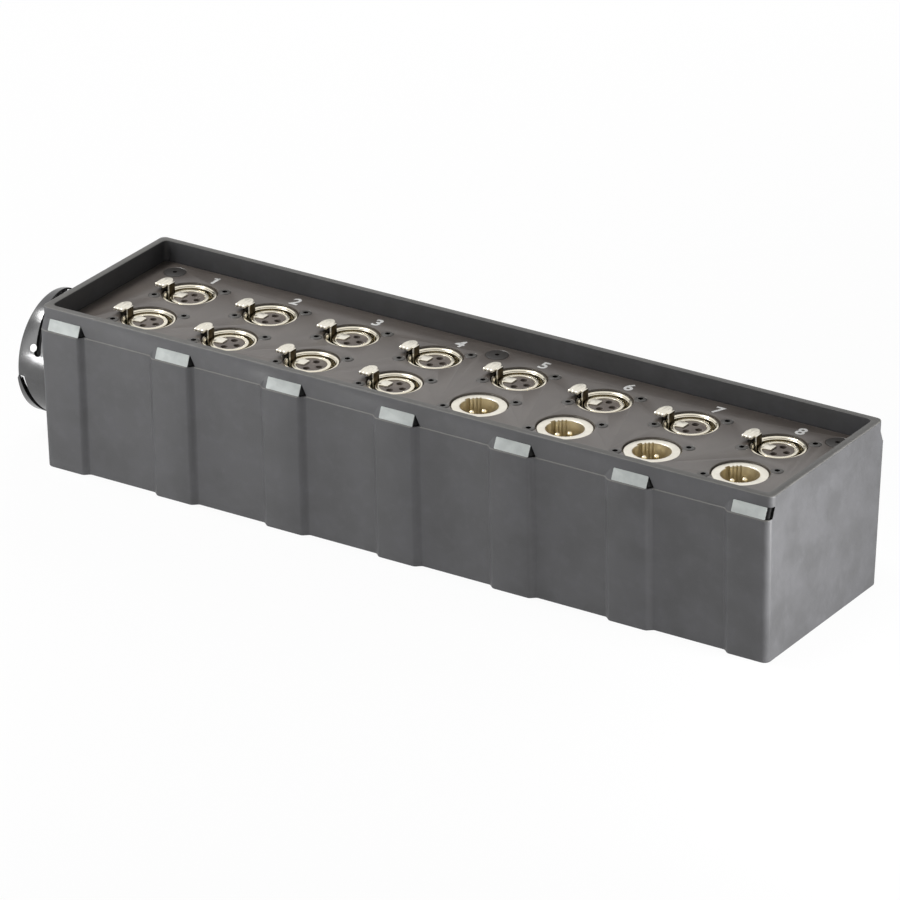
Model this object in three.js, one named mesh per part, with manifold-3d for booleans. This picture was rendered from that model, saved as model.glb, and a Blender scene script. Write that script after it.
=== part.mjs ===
// Stage box: a moulded rubber tub with a recessed panel of sixteen audio sockets,
// and a multipin socket on one end. Millimetres, +Z up. The origin is the middle of the tub's base.
// The multipin socket is on the -X end, and the row that holds the male sockets is at -Y.
import * as THREE from "three";
import { mergeVertices } from "three/addons/utils/BufferGeometryUtils.js";
import Module from "manifold-3d";

const wasm = await Module();
wasm.setup();

// Clearances
const seatGap = 0.3;
const cutOverrun = 2;
const mergeTolerance = 0.0001;

// Socket grid; both rows stand a little to the rear of the tub's middle
const columnCount = 8;
const femaleFrontCount = 4;
const socketPitch = 42;
const rowSpacing = 31.4;
const rowShift = 1.7;

// Rubber housing
const endMargin = 33.6;
const sideMargin = 30.6;
const endDraft = 0.9;
const sideDraft = 3;
const cornerRadius = 4;
const cornerSteps = 2;
const baseEdge = 0.6;
const rimEdge = 0.7;
const rimWall = 3.6;
const innerCornerRadius = 2.5;
const bandHeight = 10;
const seamStep = 0.4;
const ledgeWidth = 5;
const floorThickness = 6;

// Ribs down the two long sides, each with a sloped label facet on top
const ribCount = 7;
const ribPitch = 56.5;
const ribWidth = 16.6;
const ribFlank = 3.6;
const ribProud = 2.3;
const labelTopDrop = 4.6;

// Connector panel and its six screws
const panelDepth = 9.6;
const panelThickness = 2;
const panelSideGap = 0.4;
const panelCornerRadius = 2.1;
const screwEndInset = 14.8;
const screwSideInset = 12.7;
const screwHeadRadius = 5;
const screwHeadHeight = 1.9;
const screwShankRadius = 2.5;
const screwShankLength = 14;
const bossWall = 2.4;
const bossHeight = 20;

// Panel-mount socket shells, male and female alike
const ringDrop = 0.6;
const ringHoleGap = 0.6;
const flangeLength = 31;
const flangeWidth = 26;
const flangeCornerCut = 2.6;
const flangeThickness = 2.2;
const fixingSpacingX = 24;
const fixingSpacingY = 19;
const fixingHoleRadius = 1.7;

// Female sockets
const femaleRingRadius = 11.8;
const femaleBoreRadius = 9.75;
const femaleBarrelDepth = 17.5;
const femaleInsertRadius = 8.2;
const femaleInsertWall = 1.5;
const femaleInsertDrop = 1;
const femaleFaceDrop = 1.6;
const femaleCollarHeight = 5.2;
const contactHoleRadius = 1.5;
const contactHoleDepth = 7;
const contactCircleRadius = 3.9;

// Sprung latch of a female socket
const latchWidth = 4.4;
const latchThickness = 0.9;
const latchStemRadius = 10;
const latchPinDrop = 9.5;
const latchPinRadius = 1.1;
const latchPinSeat = 1.2;
const latchFoot = 1.5;
const latchTabRise = 2.15;
const latchTabThickness = 1.2;
const latchTabLength = 5.8;
const latchTabWidth = 9.2;
const latchCatchDrop = 4;
const latchCatchHeight = 1.2;
const latchCatchProud = 0.6;
const latchSideGap = 0.4;
const latchTravel = 2;
const latchHousingWall = 1.6;
const latchEarWall = 2;

// Male sockets
const maleRingRadius = 11.95;
const maleBoreRadius = 8.15;
const maleBarrelRadius = 9.8;
const maleBarrelDepth = 15.5;
const maleInsertDepth = 5;
const malePinRadius = 1.2;
const malePinDrop = 3;
const malePinCircleRadius = 3.75;

// Multipin socket on the end, measured out from the end face
const gasketRim = 2.3;
const gasketThickness = 1.2;
const seatDepth = 1.5;
const shellFlangeThickness = 3;
const shellBoreRadius = 19.5;
const shellWall = 2.5;
const shellReach = 25.4;
const shellTailStep = 2;
const shellTailWall = 2.1;
const shellTailLength = 18;
const shellStepReach = 4;
const keyWidth = 3;
const keyHeight = 1.4;
const wallHoleGap = 0.4;
const insertThickness = 8;
const insertTailLength = 6;
const contactPinRadius = 0.8;
const contactPinLength = 8.4;
const contactEdge = 4.5;
const contactRings = 3;
const nutWall = 4.6;
const nutThickness = 6;
const nutFloorGap = 1.5;
const nutPanelGap = 7.2;

// Coupling ring that turns on the multipin shell
const couplingPlay = 3.2;
const couplingWall = 2.2;
const couplingReach = 27.8;
const couplingStart = 0.9;
const couplingLipThickness = 3;
const couplingLipGap = 0.4;
const couplingEndStep = 0.8;
const snapRingThickness = 1.4;
const snapRingWidth = 1.9;
const snapRingOpening = 6;
const slotCount = 3;
const slotTurn = THREE.MathUtils.degToRad(95);
const slotMouthAngle = THREE.MathUtils.degToRad(-25);
const slotWidth = 2.6;
const slotMouthWidth = 4.2;
const slotStartDepth = 2.6;
const slotEndDepth = 10.6;
const slotPocketRadius = 2.3;
const slotSteps = 8;

// Wiring inside the tub
const trunkRadius = 7;
const trunkFloorGap = 6;
const trunkBendLength = 26;
const branchRadius = 3;
const branchBow = 1.5;

// Numbers of flat sides on round pieces
const socketSides = 16;
const insertSides = 12;
const smallSides = 6;
const latchTabSides = 10;
const screwSides = 10;
const multipinSides = 24;
const couplingSides = 30;
const trunkSides = 8;
const trunkSteps = 9;
const branchSteps = 6;
const nutSides = 6;
const contactsInFirstRing = 6;

// Sizes worked out from the ones above
const shellRadius = shellBoreRadius + shellWall;
const shellTailBoreRadius = shellBoreRadius - shellTailStep;
const shellTailRadius = shellTailBoreRadius + shellTailWall;
const gasketRadius = shellRadius + gasketRim;
const couplingRadius = shellRadius + couplingPlay + couplingWall;
const contactSpacing = (shellBoreRadius - contactEdge) / contactRings;
const nutAcrossFlats = 2 * (shellTailRadius + seatGap + nutWall);
const nutTop = floorThickness + nutFloorGap + nutAcrossFlats;
const housingHeight = nutTop + nutPanelGap + panelThickness + panelDepth;
const housingLength = (columnCount - 1) * socketPitch + 2 * endMargin;
const housingWidth = rowSpacing + 2 * sideMargin;
const panelTop = housingHeight - panelDepth;
const panelBottom = panelTop - panelThickness;
const ledgeTop = panelBottom - seatGap;
const recessLength = housingLength - 2 * rimWall;
const recessWidth = housingWidth - 2 * rimWall;
const ringPlane = panelTop - ringDrop;
const flangeTop = panelBottom - seatGap - ringPlane;
const flangeBottom = flangeTop - flangeThickness;
const latchPivotX = -(latchStemRadius + latchThickness / 2);
const latchPinLength = latchWidth + 2 * (latchSideGap + latchPinSeat);
const latchSlotReach = latchStemRadius + latchThickness + latchTravel;
const multipinHeight = floorThickness + nutFloorGap + nutAcrossFlats / 2;
const trunkHeight = floorThickness + trunkFloorGap + trunkRadius;
const endFaceAtSocket = housingLength / 2 - endDraft * (1 - multipinHeight / housingHeight);
const gasketReach = seatGap + gasketThickness - seatDepth;
const flangeStart = gasketReach + seatGap;
const flangeEnd = flangeStart + shellFlangeThickness;
const lipStart = flangeEnd + seatGap;
const lipEnd = lipStart + couplingLipThickness;
const snapRingStart = lipEnd + seatGap;

function toSolid(geometry) {
  const plain = geometry.clone();
  plain.deleteAttribute("normal");
  plain.deleteAttribute("uv");
  const merged = mergeVertices(plain, mergeTolerance);
  const corners = merged.index.array;
  const kept = [];
  for (let i = 0; i < corners.length; i += 3) {
    const [a, b, c] = corners.slice(i, i + 3);
    if (a !== b && b !== c && c !== a) kept.push(a, b, c);
  }
  return new wasm.Manifold(new wasm.Mesh({
    numProp: 3,
    vertProperties: new Float32Array(merged.attributes.position.array),
    triVerts: new Uint32Array(kept),
  }));
}

function toGeometry(solid) {
  const mesh = solid.getMesh();
  const geometry = new THREE.BufferGeometry();
  geometry.setAttribute("position", new THREE.BufferAttribute(mesh.vertProperties, mesh.numProp));
  geometry.setIndex(new THREE.BufferAttribute(mesh.triVerts, 1));
  return geometry;
}

// A solid turned about Z from [radius, height] corners, listed up the outside and down the inside.
function turned(corners, sides) {
  const profile = [...corners, corners[0]].map(([radius, height]) => new THREE.Vector2(radius, height));
  return new THREE.LatheGeometry(profile, sides).rotateX(Math.PI / 2);
}

// A solid of revolution with no bore, from [radius, height] corners listed up the outside.
function turnedSolid(corners, sides) {
  const low = [0, corners[0][1]];
  const high = [0, corners[corners.length - 1][1]];
  const profile = [low, ...corners, high].map(([radius, height]) => new THREE.Vector2(radius, height));
  return new THREE.LatheGeometry(profile, sides).rotateX(Math.PI / 2);
}

function rod(radius, low, high, sides) {
  return turnedSolid([[radius, low], [radius, high]], sides);
}

function block(sizeX, sizeY, sizeZ, x, y, z) {
  return new THREE.BoxGeometry(sizeX, sizeY, sizeZ).translate(x, y, z);
}

function plate(outline, low, high, curveSegments) {
  const options = { depth: high - low, bevelEnabled: false, curveSegments };
  return new THREE.ExtrudeGeometry(outline, options).translate(0, 0, low);
}

function roundedRectangle(length, width, radius) {
  const [x, y] = [length / 2, width / 2];
  const outline = new THREE.Shape();
  outline.moveTo(radius - x, -y);
  outline.absarc(x - radius, radius - y, radius, -Math.PI / 2, 0);
  outline.absarc(x - radius, y - radius, radius, 0, Math.PI / 2);
  outline.absarc(radius - x, y - radius, radius, Math.PI / 2, Math.PI);
  outline.absarc(radius - x, radius - y, radius, Math.PI, 3 * Math.PI / 2);
  return outline;
}

// Half of the housing's outline: the front side from the left end to the right, with its ribs.
function housingFrontPoints() {
  const [x, y] = [housingLength / 2, housingWidth / 2];
  const corner = [];
  for (let i = 0; i <= cornerSteps; i++) {
    const turn = i / cornerSteps * Math.PI / 4;
    corner.push([x - cornerRadius * (1 - Math.cos(turn)), cornerRadius * (1 - Math.sin(turn)) - y]);
  }
  const points = corner.map(([cornerX, cornerY]) => [-cornerX, cornerY]);
  for (let i = 0; i < ribCount; i++) {
    const middle = (i - (ribCount - 1) / 2) * ribPitch;
    if (i > 0) points.push([middle - ribWidth / 2 - ribFlank, -y]);
    points.push([middle - ribWidth / 2, -y - ribProud]);
    points.push([middle + ribWidth / 2, -y - ribProud]);
    if (i < ribCount - 1) points.push([middle + ribWidth / 2 + ribFlank, -y]);
  }
  points.push(...corner.reverse());
  return points;
}

// Heights up the housing, with the half sizes of its walls and ribs there.
function housingLayer(height, inset) {
  const lean = 1 - height / housingHeight;
  const side = housingWidth / 2 - sideDraft * lean - inset;
  return { height, end: housingLength / 2 - endDraft * lean - inset, side, rib: side + ribProud };
}

function housingLayers() {
  const seam = housingLayer(housingHeight - bandHeight, 0);
  const overSeam = housingLayer(seam.height + seamStep, seamStep);
  const labelTop = housingLayer(housingHeight - labelTopDrop, seamStep);
  const underRim = housingLayer(housingHeight - rimEdge, seamStep);
  const rim = housingLayer(housingHeight, seamStep + rimEdge);
  for (const layer of [labelTop, underRim, rim]) layer.rib = layer.side;
  const climb = (overSeam.height - seam.height) / (labelTop.height - seam.height);
  overSeam.rib = THREE.MathUtils.lerp(seam.rib, labelTop.rib, climb);
  return [housingLayer(0, baseEdge), housingLayer(baseEdge, 0), seam, overSeam, labelTop, underRim, rim];
}

function housingBlock() {
  const front = housingFrontPoints();
  const rear = front.map(([x, y]) => [-x, -y]);
  const outline = new THREE.Shape([...front, ...rear].map(([x, y]) => new THREE.Vector2(x, y)));
  const layers = housingLayers();
  const steps = layers.length - 1;
  const geometry = new THREE.ExtrudeGeometry(outline, { depth: steps, steps, bevelEnabled: false });
  const spots = geometry.attributes.position;
  for (let i = 0; i < spots.count; i++) {
    const [x, y] = [spots.getX(i), spots.getY(i)];
    const layer = layers[Math.round(spots.getZ(i))];
    const nearEnd = Math.abs(x) > housingLength / 2 - cornerRadius;
    const onRib = Math.abs(y) > (housingWidth + ribProud) / 2;
    const newX = nearEnd ? Math.abs(x) - housingLength / 2 + layer.end : Math.abs(x);
    const newY = onRib ? layer.rib : Math.abs(y) - housingWidth / 2 + layer.side;
    spots.setXYZ(i, Math.sign(x) * newX, Math.sign(y) * newY, layer.height);
  }
  return toSolid(geometry);
}

function panelScrewPlaces() {
  const x = housingLength / 2 - screwEndInset;
  const y = housingWidth / 2 - screwSideInset;
  return [[-x, y], [0, y], [x, y], [-x, -y], [0, -y], [x, -y]];
}

function rubberHousing() {
  const bossRadius = screwShankRadius + bossWall;
  const lowerLength = recessLength - 2 * ledgeWidth;
  const lowerWidth = recessWidth - 2 * ledgeWidth;
  const recess = roundedRectangle(recessLength, recessWidth, innerCornerRadius);
  const lower = roundedRectangle(lowerLength, lowerWidth, innerCornerRadius);
  let hollow = toSolid(plate(lower, floorThickness, ledgeTop + cutOverrun, cornerSteps));
  for (const [x, y] of panelScrewPlaces()) {
    const boss = rod(bossRadius, ledgeTop - bossHeight, ledgeTop, screwSides).translate(x, y, 0);
    hollow = hollow.subtract(toSolid(boss));
  }
  let housing = housingBlock().subtract(hollow);
  housing = housing.subtract(toSolid(plate(recess, ledgeTop, housingHeight + cutOverrun, cornerSteps)));
  for (const [x, y] of panelScrewPlaces()) {
    const holeFloor = ledgeTop - bossHeight + bossWall;
    const hole = rod(screwShankRadius + seatGap, holeFloor, housingHeight, screwSides);
    housing = housing.subtract(toSolid(hole.translate(x, y, 0)));
  }
  const wallHoleStart = -rimWall - ledgeWidth - cutOverrun;
  const wallHole = rod(shellTailRadius + wallHoleGap, wallHoleStart, couplingReach, multipinSides);
  const seat = rod(gasketRadius + seatGap, -seatDepth, couplingReach, multipinSides);
  return housing.subtract(toSolid(onEnd(wallHole))).subtract(toSolid(onEnd(seat)));
}

// Puts a piece turned about Z on the -X end, so that its height becomes the reach out from the end face.
function onEnd(geometry) {
  return geometry.rotateY(-Math.PI / 2).translate(-endFaceAtSocket, 0, multipinHeight);
}

function socketPlaces() {
  const places = [];
  for (let i = 0; i < columnCount; i++) {
    const x = (i - (columnCount - 1) / 2) * socketPitch;
    places.push({ name: `rear_${i + 1}`, x, y: rowShift + rowSpacing / 2, female: true });
    places.push({ name: `front_${i + 1}`, x, y: rowShift - rowSpacing / 2, female: i < femaleFrontCount });
  }
  return places;
}

// Screw places of one socket: one at the rear right, one at the front left.
function fixingPlaces() {
  return [[fixingSpacingX / 2, fixingSpacingY / 2], [-fixingSpacingX / 2, -fixingSpacingY / 2]];
}

function connectorPanel() {
  const length = recessLength - 2 * panelSideGap;
  const width = recessWidth - 2 * panelSideGap;
  const outline = roundedRectangle(length, width, panelCornerRadius);
  let panel = toSolid(plate(outline, panelBottom, panelTop, cornerSteps));
  const [low, high] = [panelBottom - cutOverrun, panelTop + cutOverrun];
  for (const { x, y, female } of socketPlaces()) {
    const holeRadius = (female ? femaleRingRadius : maleRingRadius) + ringHoleGap;
    panel = panel.subtract(toSolid(rod(holeRadius, low, high, socketSides).translate(x, y, 0)));
    for (const [dx, dy] of fixingPlaces()) {
      const hole = rod(fixingHoleRadius, low, high, smallSides).translate(x + dx, y + dy, 0);
      panel = panel.subtract(toSolid(hole));
    }
    if (female) {
      const notchLength = latchSlotReach + seatGap;
      const notchWidth = latchWidth + 2 * (latchSideGap + seatGap);
      const notch = block(notchLength, notchWidth, high - low, x - notchLength / 2, y, (low + high) / 2);
      panel = panel.subtract(toSolid(notch));
    }
  }
  for (const [x, y] of panelScrewPlaces()) {
    const slope = (screwHeadRadius - screwShankRadius) / screwHeadHeight;
    const sink = turnedSolid([
      [screwShankRadius + seatGap, low],
      [screwShankRadius + seatGap, panelTop - screwHeadHeight],
      [screwHeadRadius + seatGap, panelTop],
      [screwHeadRadius + seatGap + slope * cutOverrun, high],
    ], screwSides);
    panel = panel.subtract(toSolid(sink.translate(x, y, 0)));
  }
  return panel;
}

function panelScrew() {
  return toSolid(turnedSolid([
    [screwShankRadius, panelTop - screwHeadHeight - screwShankLength],
    [screwShankRadius, panelTop - screwHeadHeight],
    [screwHeadRadius, panelTop],
  ], screwSides));
}

// The rectangular flange behind the panel, with its corners cut off and a hole for the shell's tube.
function socketFlange(holeRadius) {
  const [x, y, cut] = [flangeLength / 2, flangeWidth / 2, flangeCornerCut];
  const corners = [[x, cut - y], [x, y - cut], [x - cut, y], [cut - x, y]];
  const points = [...corners, ...corners.map(([cornerX, cornerY]) => [-cornerX, -cornerY])];
  const outline = new THREE.Shape(points.map(([pointX, pointY]) => new THREE.Vector2(pointX, pointY)));
  const flange = toSolid(plate(outline, flangeBottom, flangeTop));
  const hole = rod(holeRadius, flangeBottom - cutOverrun, flangeTop + cutOverrun, socketSides);
  return flange.subtract(toSolid(hole));
}

function femaleShell() {
  const tube = turned([
    [femaleRingRadius, -femaleBarrelDepth],
    [femaleRingRadius, 0],
    [femaleBoreRadius, 0],
    [femaleBoreRadius, -femaleBarrelDepth],
  ], socketSides);
  const slotWide = latchWidth + 2 * latchSideGap;
  const slotFloor = -(latchPinDrop + latchFoot + latchSideGap);
  const housingWide = slotWide + 2 * latchEarWall;
  const housingReach = latchSlotReach + latchHousingWall;
  const housingInner = femaleBoreRadius + seatGap;
  const housingLow = slotFloor - latchHousingWall;
  const housingTall = flangeTop - housingLow;
  const latchHousing = block(housingReach - housingInner, housingWide, housingTall,
    -(housingReach + housingInner) / 2, 0, flangeTop - housingTall / 2);
  const bore = rod(femaleBoreRadius, -femaleBarrelDepth - cutOverrun, cutOverrun, socketSides);
  const slotInner = femaleInsertRadius + seatGap;
  const slotTall = cutOverrun - slotFloor;
  const slot = block(latchSlotReach - slotInner, slotWide, slotTall,
    -(latchSlotReach + slotInner) / 2, 0, cutOverrun - slotTall / 2);
  const pocketReach = latchPinLength / 2 + seatGap;
  const pocket = rod(latchPinRadius + seatGap, -pocketReach, pocketReach, smallSides)
    .rotateX(Math.PI / 2).translate(latchPivotX, 0, -latchPinDrop);
  const body = toSolid(latchHousing).subtract(toSolid(bore)).add(toSolid(tube));
  return body.add(socketFlange((femaleBoreRadius + femaleRingRadius) / 2))
    .subtract(toSolid(slot)).subtract(toSolid(pocket));
}

function femaleInsert() {
  const collarRadius = femaleBoreRadius - seatGap;
  const cup = toSolid(turnedSolid([
    [collarRadius, -femaleBarrelDepth],
    [collarRadius, femaleCollarHeight - femaleBarrelDepth],
    [femaleInsertRadius, femaleCollarHeight - femaleBarrelDepth],
    [femaleInsertRadius, -femaleInsertDrop],
    [femaleInsertRadius - femaleInsertWall, -femaleInsertDrop],
    [femaleInsertRadius - femaleInsertWall, -femaleFaceDrop],
  ], insertSides));
  return contactPlaces(contactCircleRadius).reduce((insert, [x, y]) => {
    const hole = rod(contactHoleRadius, -femaleFaceDrop - contactHoleDepth, 0, smallSides);
    return insert.subtract(toSolid(hole.translate(x, y, 0)));
  }, cup);
}

// Three contacts a quarter turn apart on a circle, the middle one away from the latch.
function contactPlaces(circleRadius) {
  return [-1, 0, 1].map((quarter) => {
    const turn = quarter * Math.PI / 2;
    return [circleRadius * Math.cos(turn), circleRadius * Math.sin(turn)];
  });
}

// The latch in the frame of its socket: a stem through the ring's slot, an oval thumb tab and a pivot pin.
function latch() {
  const stemLow = -(latchPinDrop + latchFoot);
  const stemHigh = latchTabRise + latchTabThickness / 2;
  const stemMiddle = (stemHigh + stemLow) / 2;
  const stem = block(latchThickness, latchWidth, stemHigh - stemLow, latchPivotX, 0, stemMiddle);
  const oval = new THREE.Shape();
  const tabMiddle = -(latchStemRadius + latchTabLength / 2);
  oval.absellipse(tabMiddle, 0, latchTabLength / 2, latchTabWidth / 2, 0, 2 * Math.PI);
  const tab = plate(oval, latchTabRise, latchTabRise + latchTabThickness, latchTabSides / 2);
  const pin = rod(latchPinRadius, -latchPinLength / 2, latchPinLength / 2, smallSides)
    .rotateX(Math.PI / 2).translate(latchPivotX, 0, -latchPinDrop);
  const grip = block(latchCatchProud + latchThickness / 2, latchWidth / 2, latchCatchHeight,
    -latchStemRadius + (latchCatchProud - latchThickness / 2) / 2, 0, -latchCatchDrop);
  return toSolid(stem).add(toSolid(tab)).add(toSolid(pin)).add(toSolid(grip));
}

function maleShell() {
  const tube = turned([
    [maleBarrelRadius, -maleBarrelDepth],
    [maleBarrelRadius, flangeBottom],
    [maleRingRadius, flangeBottom],
    [maleRingRadius, 0],
    [maleBoreRadius, 0],
    [maleBoreRadius, -maleBarrelDepth],
  ], socketSides);
  return toSolid(tube).add(socketFlange((maleBoreRadius + maleRingRadius) / 2));
}

function maleInsert() {
  const discTop = maleInsertDepth - maleBarrelDepth;
  const disc = toSolid(rod(maleBoreRadius - seatGap, -maleBarrelDepth, discTop, insertSides));
  return contactPlaces(malePinCircleRadius).reduce((insert, [x, y]) => {
    const pin = rod(malePinRadius, discTop - maleInsertDepth / 2, -malePinDrop, smallSides);
    return insert.add(toSolid(pin.translate(-x, y, 0)));
  }, disc);
}

function multipinGasket() {
  const inner = shellTailRadius + wallHoleGap;
  const [low, high] = [gasketReach - gasketThickness, gasketReach];
  return toSolid(onEnd(turned([[gasketRadius, low], [gasketRadius, high], [inner, high], [inner, low]],
    multipinSides)));
}

function multipinShell() {
  const shell = toSolid(turned([
    [shellTailRadius, flangeStart - shellTailLength],
    [shellTailRadius, flangeStart],
    [gasketRadius, flangeStart],
    [gasketRadius, flangeEnd],
    [shellRadius, flangeEnd],
    [shellRadius, shellReach],
    [shellBoreRadius, shellReach],
    [shellBoreRadius, shellStepReach],
    [shellTailBoreRadius, shellStepReach],
    [shellTailBoreRadius, flangeStart - shellTailLength],
  ], multipinSides));
  const keyLow = shellStepReach + seatGap + insertThickness + seatGap;
  const keyDeep = keyHeight + (shellRadius - shellBoreRadius) / 2;
  const key = block(keyDeep, keyWidth, shellReach - keyLow,
    shellBoreRadius - keyHeight + keyDeep / 2, 0, (shellReach + keyLow) / 2);
  return toSolid(onEnd(toGeometry(shell.add(toSolid(key)))));
}

// Contacts of the multipin socket: one in the middle, and rings around it that each hold six more.
function multipinContactPlaces() {
  const places = [[0, 0]];
  for (let ring = 1; ring <= contactRings; ring++) {
    const count = ring * contactsInFirstRing;
    for (let i = 0; i < count; i++) {
      const turn = (i + (ring % 2) / 2) / count * 2 * Math.PI;
      places.push([ring * contactSpacing * Math.cos(turn), ring * contactSpacing * Math.sin(turn)]);
    }
  }
  return places;
}

function multipinInsert() {
  const [step, face] = [shellStepReach + seatGap, shellStepReach + seatGap + insertThickness];
  const body = turnedSolid([
    [shellTailBoreRadius - seatGap, step - insertTailLength],
    [shellTailBoreRadius - seatGap, step],
    [shellBoreRadius - seatGap, step],
    [shellBoreRadius - seatGap, face],
  ], multipinSides);
  const insert = multipinContactPlaces().reduce((joined, [x, y]) => {
    const pin = rod(contactPinRadius, face - insertThickness / 2, face + contactPinLength, smallSides);
    return joined.add(toSolid(pin.translate(x, y, 0)));
  }, toSolid(body));
  return toSolid(onEnd(toGeometry(insert)));
}

// A bayonet slot is laid out flat, with x along the ring, y in from its end and z out from its axis,
// and is then wrapped round the ring.
function bayonetSlot(mouthAngle) {
  const run = slotTurn * couplingRadius;
  const [low, high] = [couplingRadius - couplingWall - cutOverrun, couplingRadius + cutOverrun];
  const ramp = new THREE.BoxGeometry(run, slotWidth, high - low, slotSteps, 1, 1);
  ramp.translate(run / 2, 0, (low + high) / 2);
  const rampSpots = ramp.attributes.position;
  for (let i = 0; i < rampSpots.count; i++) {
    const depth = THREE.MathUtils.lerp(slotStartDepth, slotEndDepth, rampSpots.getX(i) / run);
    rampSpots.setY(i, rampSpots.getY(i) + depth);
  }
  const mouthEnd = slotStartDepth + slotWidth / 2;
  const mouth = block(slotMouthWidth, mouthEnd + cutOverrun, high - low,
    0, (mouthEnd - cutOverrun) / 2, (low + high) / 2);
  const pocketDepth = slotEndDepth + slotPocketRadius - slotWidth / 2;
  const pocket = rod(slotPocketRadius, low, high, screwSides).translate(run, pocketDepth, 0);
  const [first, ...others] = [ramp, mouth, pocket].map((piece) => toSolid(wrappedRound(piece, mouthAngle)));
  return others.reduce((slot, piece) => slot.add(piece), first);
}

function wrappedRound(geometry, mouthAngle) {
  const spots = geometry.attributes.position;
  for (let i = 0; i < spots.count; i++) {
    const angle = -(mouthAngle + spots.getX(i) / couplingRadius);
    const radius = spots.getZ(i);
    spots.setXYZ(i, radius * Math.cos(angle), radius * Math.sin(angle), couplingReach - spots.getY(i));
  }
  return geometry;
}

// The ring's outer end climbs a little between one slot's mouth and the next.
function couplingBlank() {
  const bore = couplingRadius - couplingWall;
  const lipBore = shellRadius + couplingLipGap;
  const blank = turned([
    [couplingRadius, couplingStart],
    [couplingRadius, couplingReach],
    [bore, couplingReach],
    [bore, lipEnd],
    [lipBore, lipEnd],
    [lipBore, lipStart],
    [bore, lipStart],
    [bore, couplingStart],
  ], couplingSides);
  blank.rotateZ(-slotMouthAngle + Math.PI / couplingSides);
  const sector = 2 * Math.PI / slotCount;
  const spots = blank.attributes.position;
  for (let i = 0; i < spots.count; i++) {
    if (spots.getZ(i) < couplingReach - seatGap) continue;
    const angle = -Math.atan2(spots.getY(i), spots.getX(i)) - slotMouthAngle;
    const share = THREE.MathUtils.euclideanModulo(angle, sector) / sector;
    spots.setZ(i, couplingReach - couplingEndStep * share);
  }
  return toSolid(blank);
}

function couplingRing() {
  let ring = couplingBlank();
  for (let i = 0; i < slotCount; i++) {
    ring = ring.subtract(bayonetSlot(slotMouthAngle + i * 2 * Math.PI / slotCount));
  }
  return toSolid(onEnd(toGeometry(ring)));
}

function snapRing() {
  const inner = shellRadius + seatGap;
  const outer = inner + snapRingWidth;
  const [low, high] = [snapRingStart, snapRingStart + snapRingThickness];
  const ring = toSolid(turned([[outer, low], [outer, high], [inner, high], [inner, low]], multipinSides));
  const opening = block(2 * snapRingWidth + cutOverrun, snapRingOpening, snapRingThickness + 2 * cutOverrun,
    -(inner + outer) / 2, 0, (low + high) / 2);
  return toSolid(onEnd(toGeometry(ring.subtract(toSolid(opening)))));
}

function lockNut() {
  const outerRadius = nutAcrossFlats / 2 / Math.cos(Math.PI / nutSides);
  const wallInside = -(rimWall + ledgeWidth) + (housingLength / 2 - endFaceAtSocket);
  const [high, low] = [wallInside - seatGap, wallInside - seatGap - nutThickness];
  const blank = rod(outerRadius, low, high, nutSides);
  const bore = rod(shellTailRadius + seatGap, low - cutOverrun, high + cutOverrun, multipinSides);
  return toSolid(onEnd(toGeometry(toSolid(blank).subtract(toSolid(bore)))));
}

function tubeAlong(points, radius, sides, steps) {
  const section = new THREE.Shape();
  section.absarc(0, 0, radius, 0, 2 * Math.PI);
  const path = new THREE.CatmullRomCurve3(points.map(([x, y, z]) => new THREE.Vector3(x, y, z)));
  const options = { extrudePath: path, steps, bevelEnabled: false, curveSegments: sides / 2 };
  return toSolid(new THREE.ExtrudeGeometry(section, options));
}

// The wires inside: a trunk from the multipin socket along the tub, and a loop under each pair of sockets.
function wiringLoom() {
  const insertTail = shellStepReach + seatGap - insertTailLength;
  const trunkStart = -endFaceAtSocket - insertTail + seatGap;
  const lastSocket = (columnCount - 1) / 2 * socketPitch;
  const tailEnd = -endFaceAtSocket + shellTailLength;
  const trunk = tubeAlong([
    [trunkStart, 0, multipinHeight],
    [tailEnd, 0, multipinHeight],
    [tailEnd + trunkBendLength, 0, trunkHeight],
    [0, 0, trunkHeight],
    [lastSocket + trunkRadius, 0, trunkHeight],
  ], trunkRadius, trunkSides, trunkSteps);
  const middleHeight = (ringPlane - femaleBarrelDepth + trunkHeight) / 2;
  return socketPlaces().filter((place) => place.y > 0).reduce((loom, rear) => {
    const front = socketPlaces().find((place) => place.x === rear.x && place.y < 0);
    const topOf = (place) => ringPlane - (place.female ? femaleBarrelDepth : maleBarrelDepth) - seatGap;
    const loop = tubeAlong([
      [rear.x, front.y, topOf(front)],
      [rear.x, front.y + branchBow, middleHeight],
      [rear.x, 0, trunkHeight],
      [rear.x, rear.y - branchBow, middleHeight],
      [rear.x, rear.y, topOf(rear)],
    ], branchRadius, smallSides, branchSteps);
    return loom.add(loop);
  }, trunk);
}

const finishes = {
  rubber: { color: 0x565655, roughness: 0.85, metalness: 0 },
  blackPlate: { color: 0x5d5854, roughness: 0.6, metalness: 0.2 },
  blackSteel: { color: 0x2a2927, roughness: 0.45, metalness: 0.6 },
  nickel: { color: 0xd9d2c0, roughness: 0.28, metalness: 1 },
  insulator: { color: 0x55504c, roughness: 0.6, metalness: 0 },
  goldTan: { color: 0xa08c5a, roughness: 0.4, metalness: 0.6 },
  blackGloss: { color: 0x2b2b2b, roughness: 0.25, metalness: 0.3 },
  seal: { color: 0x1d1d1d, roughness: 0.9, metalness: 0 },
  cable: { color: 0x202020, roughness: 0.7, metalness: 0 },
};

const stageBox = new THREE.Group();

function addPiece(name, solid, finish, x = 0, y = 0, z = 0) {
  const piece = new THREE.Mesh(toGeometry(solid), new THREE.MeshStandardMaterial(finishes[finish]));
  piece.name = name;
  piece.position.set(x, y, z);
  stageBox.add(piece);
}

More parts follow.
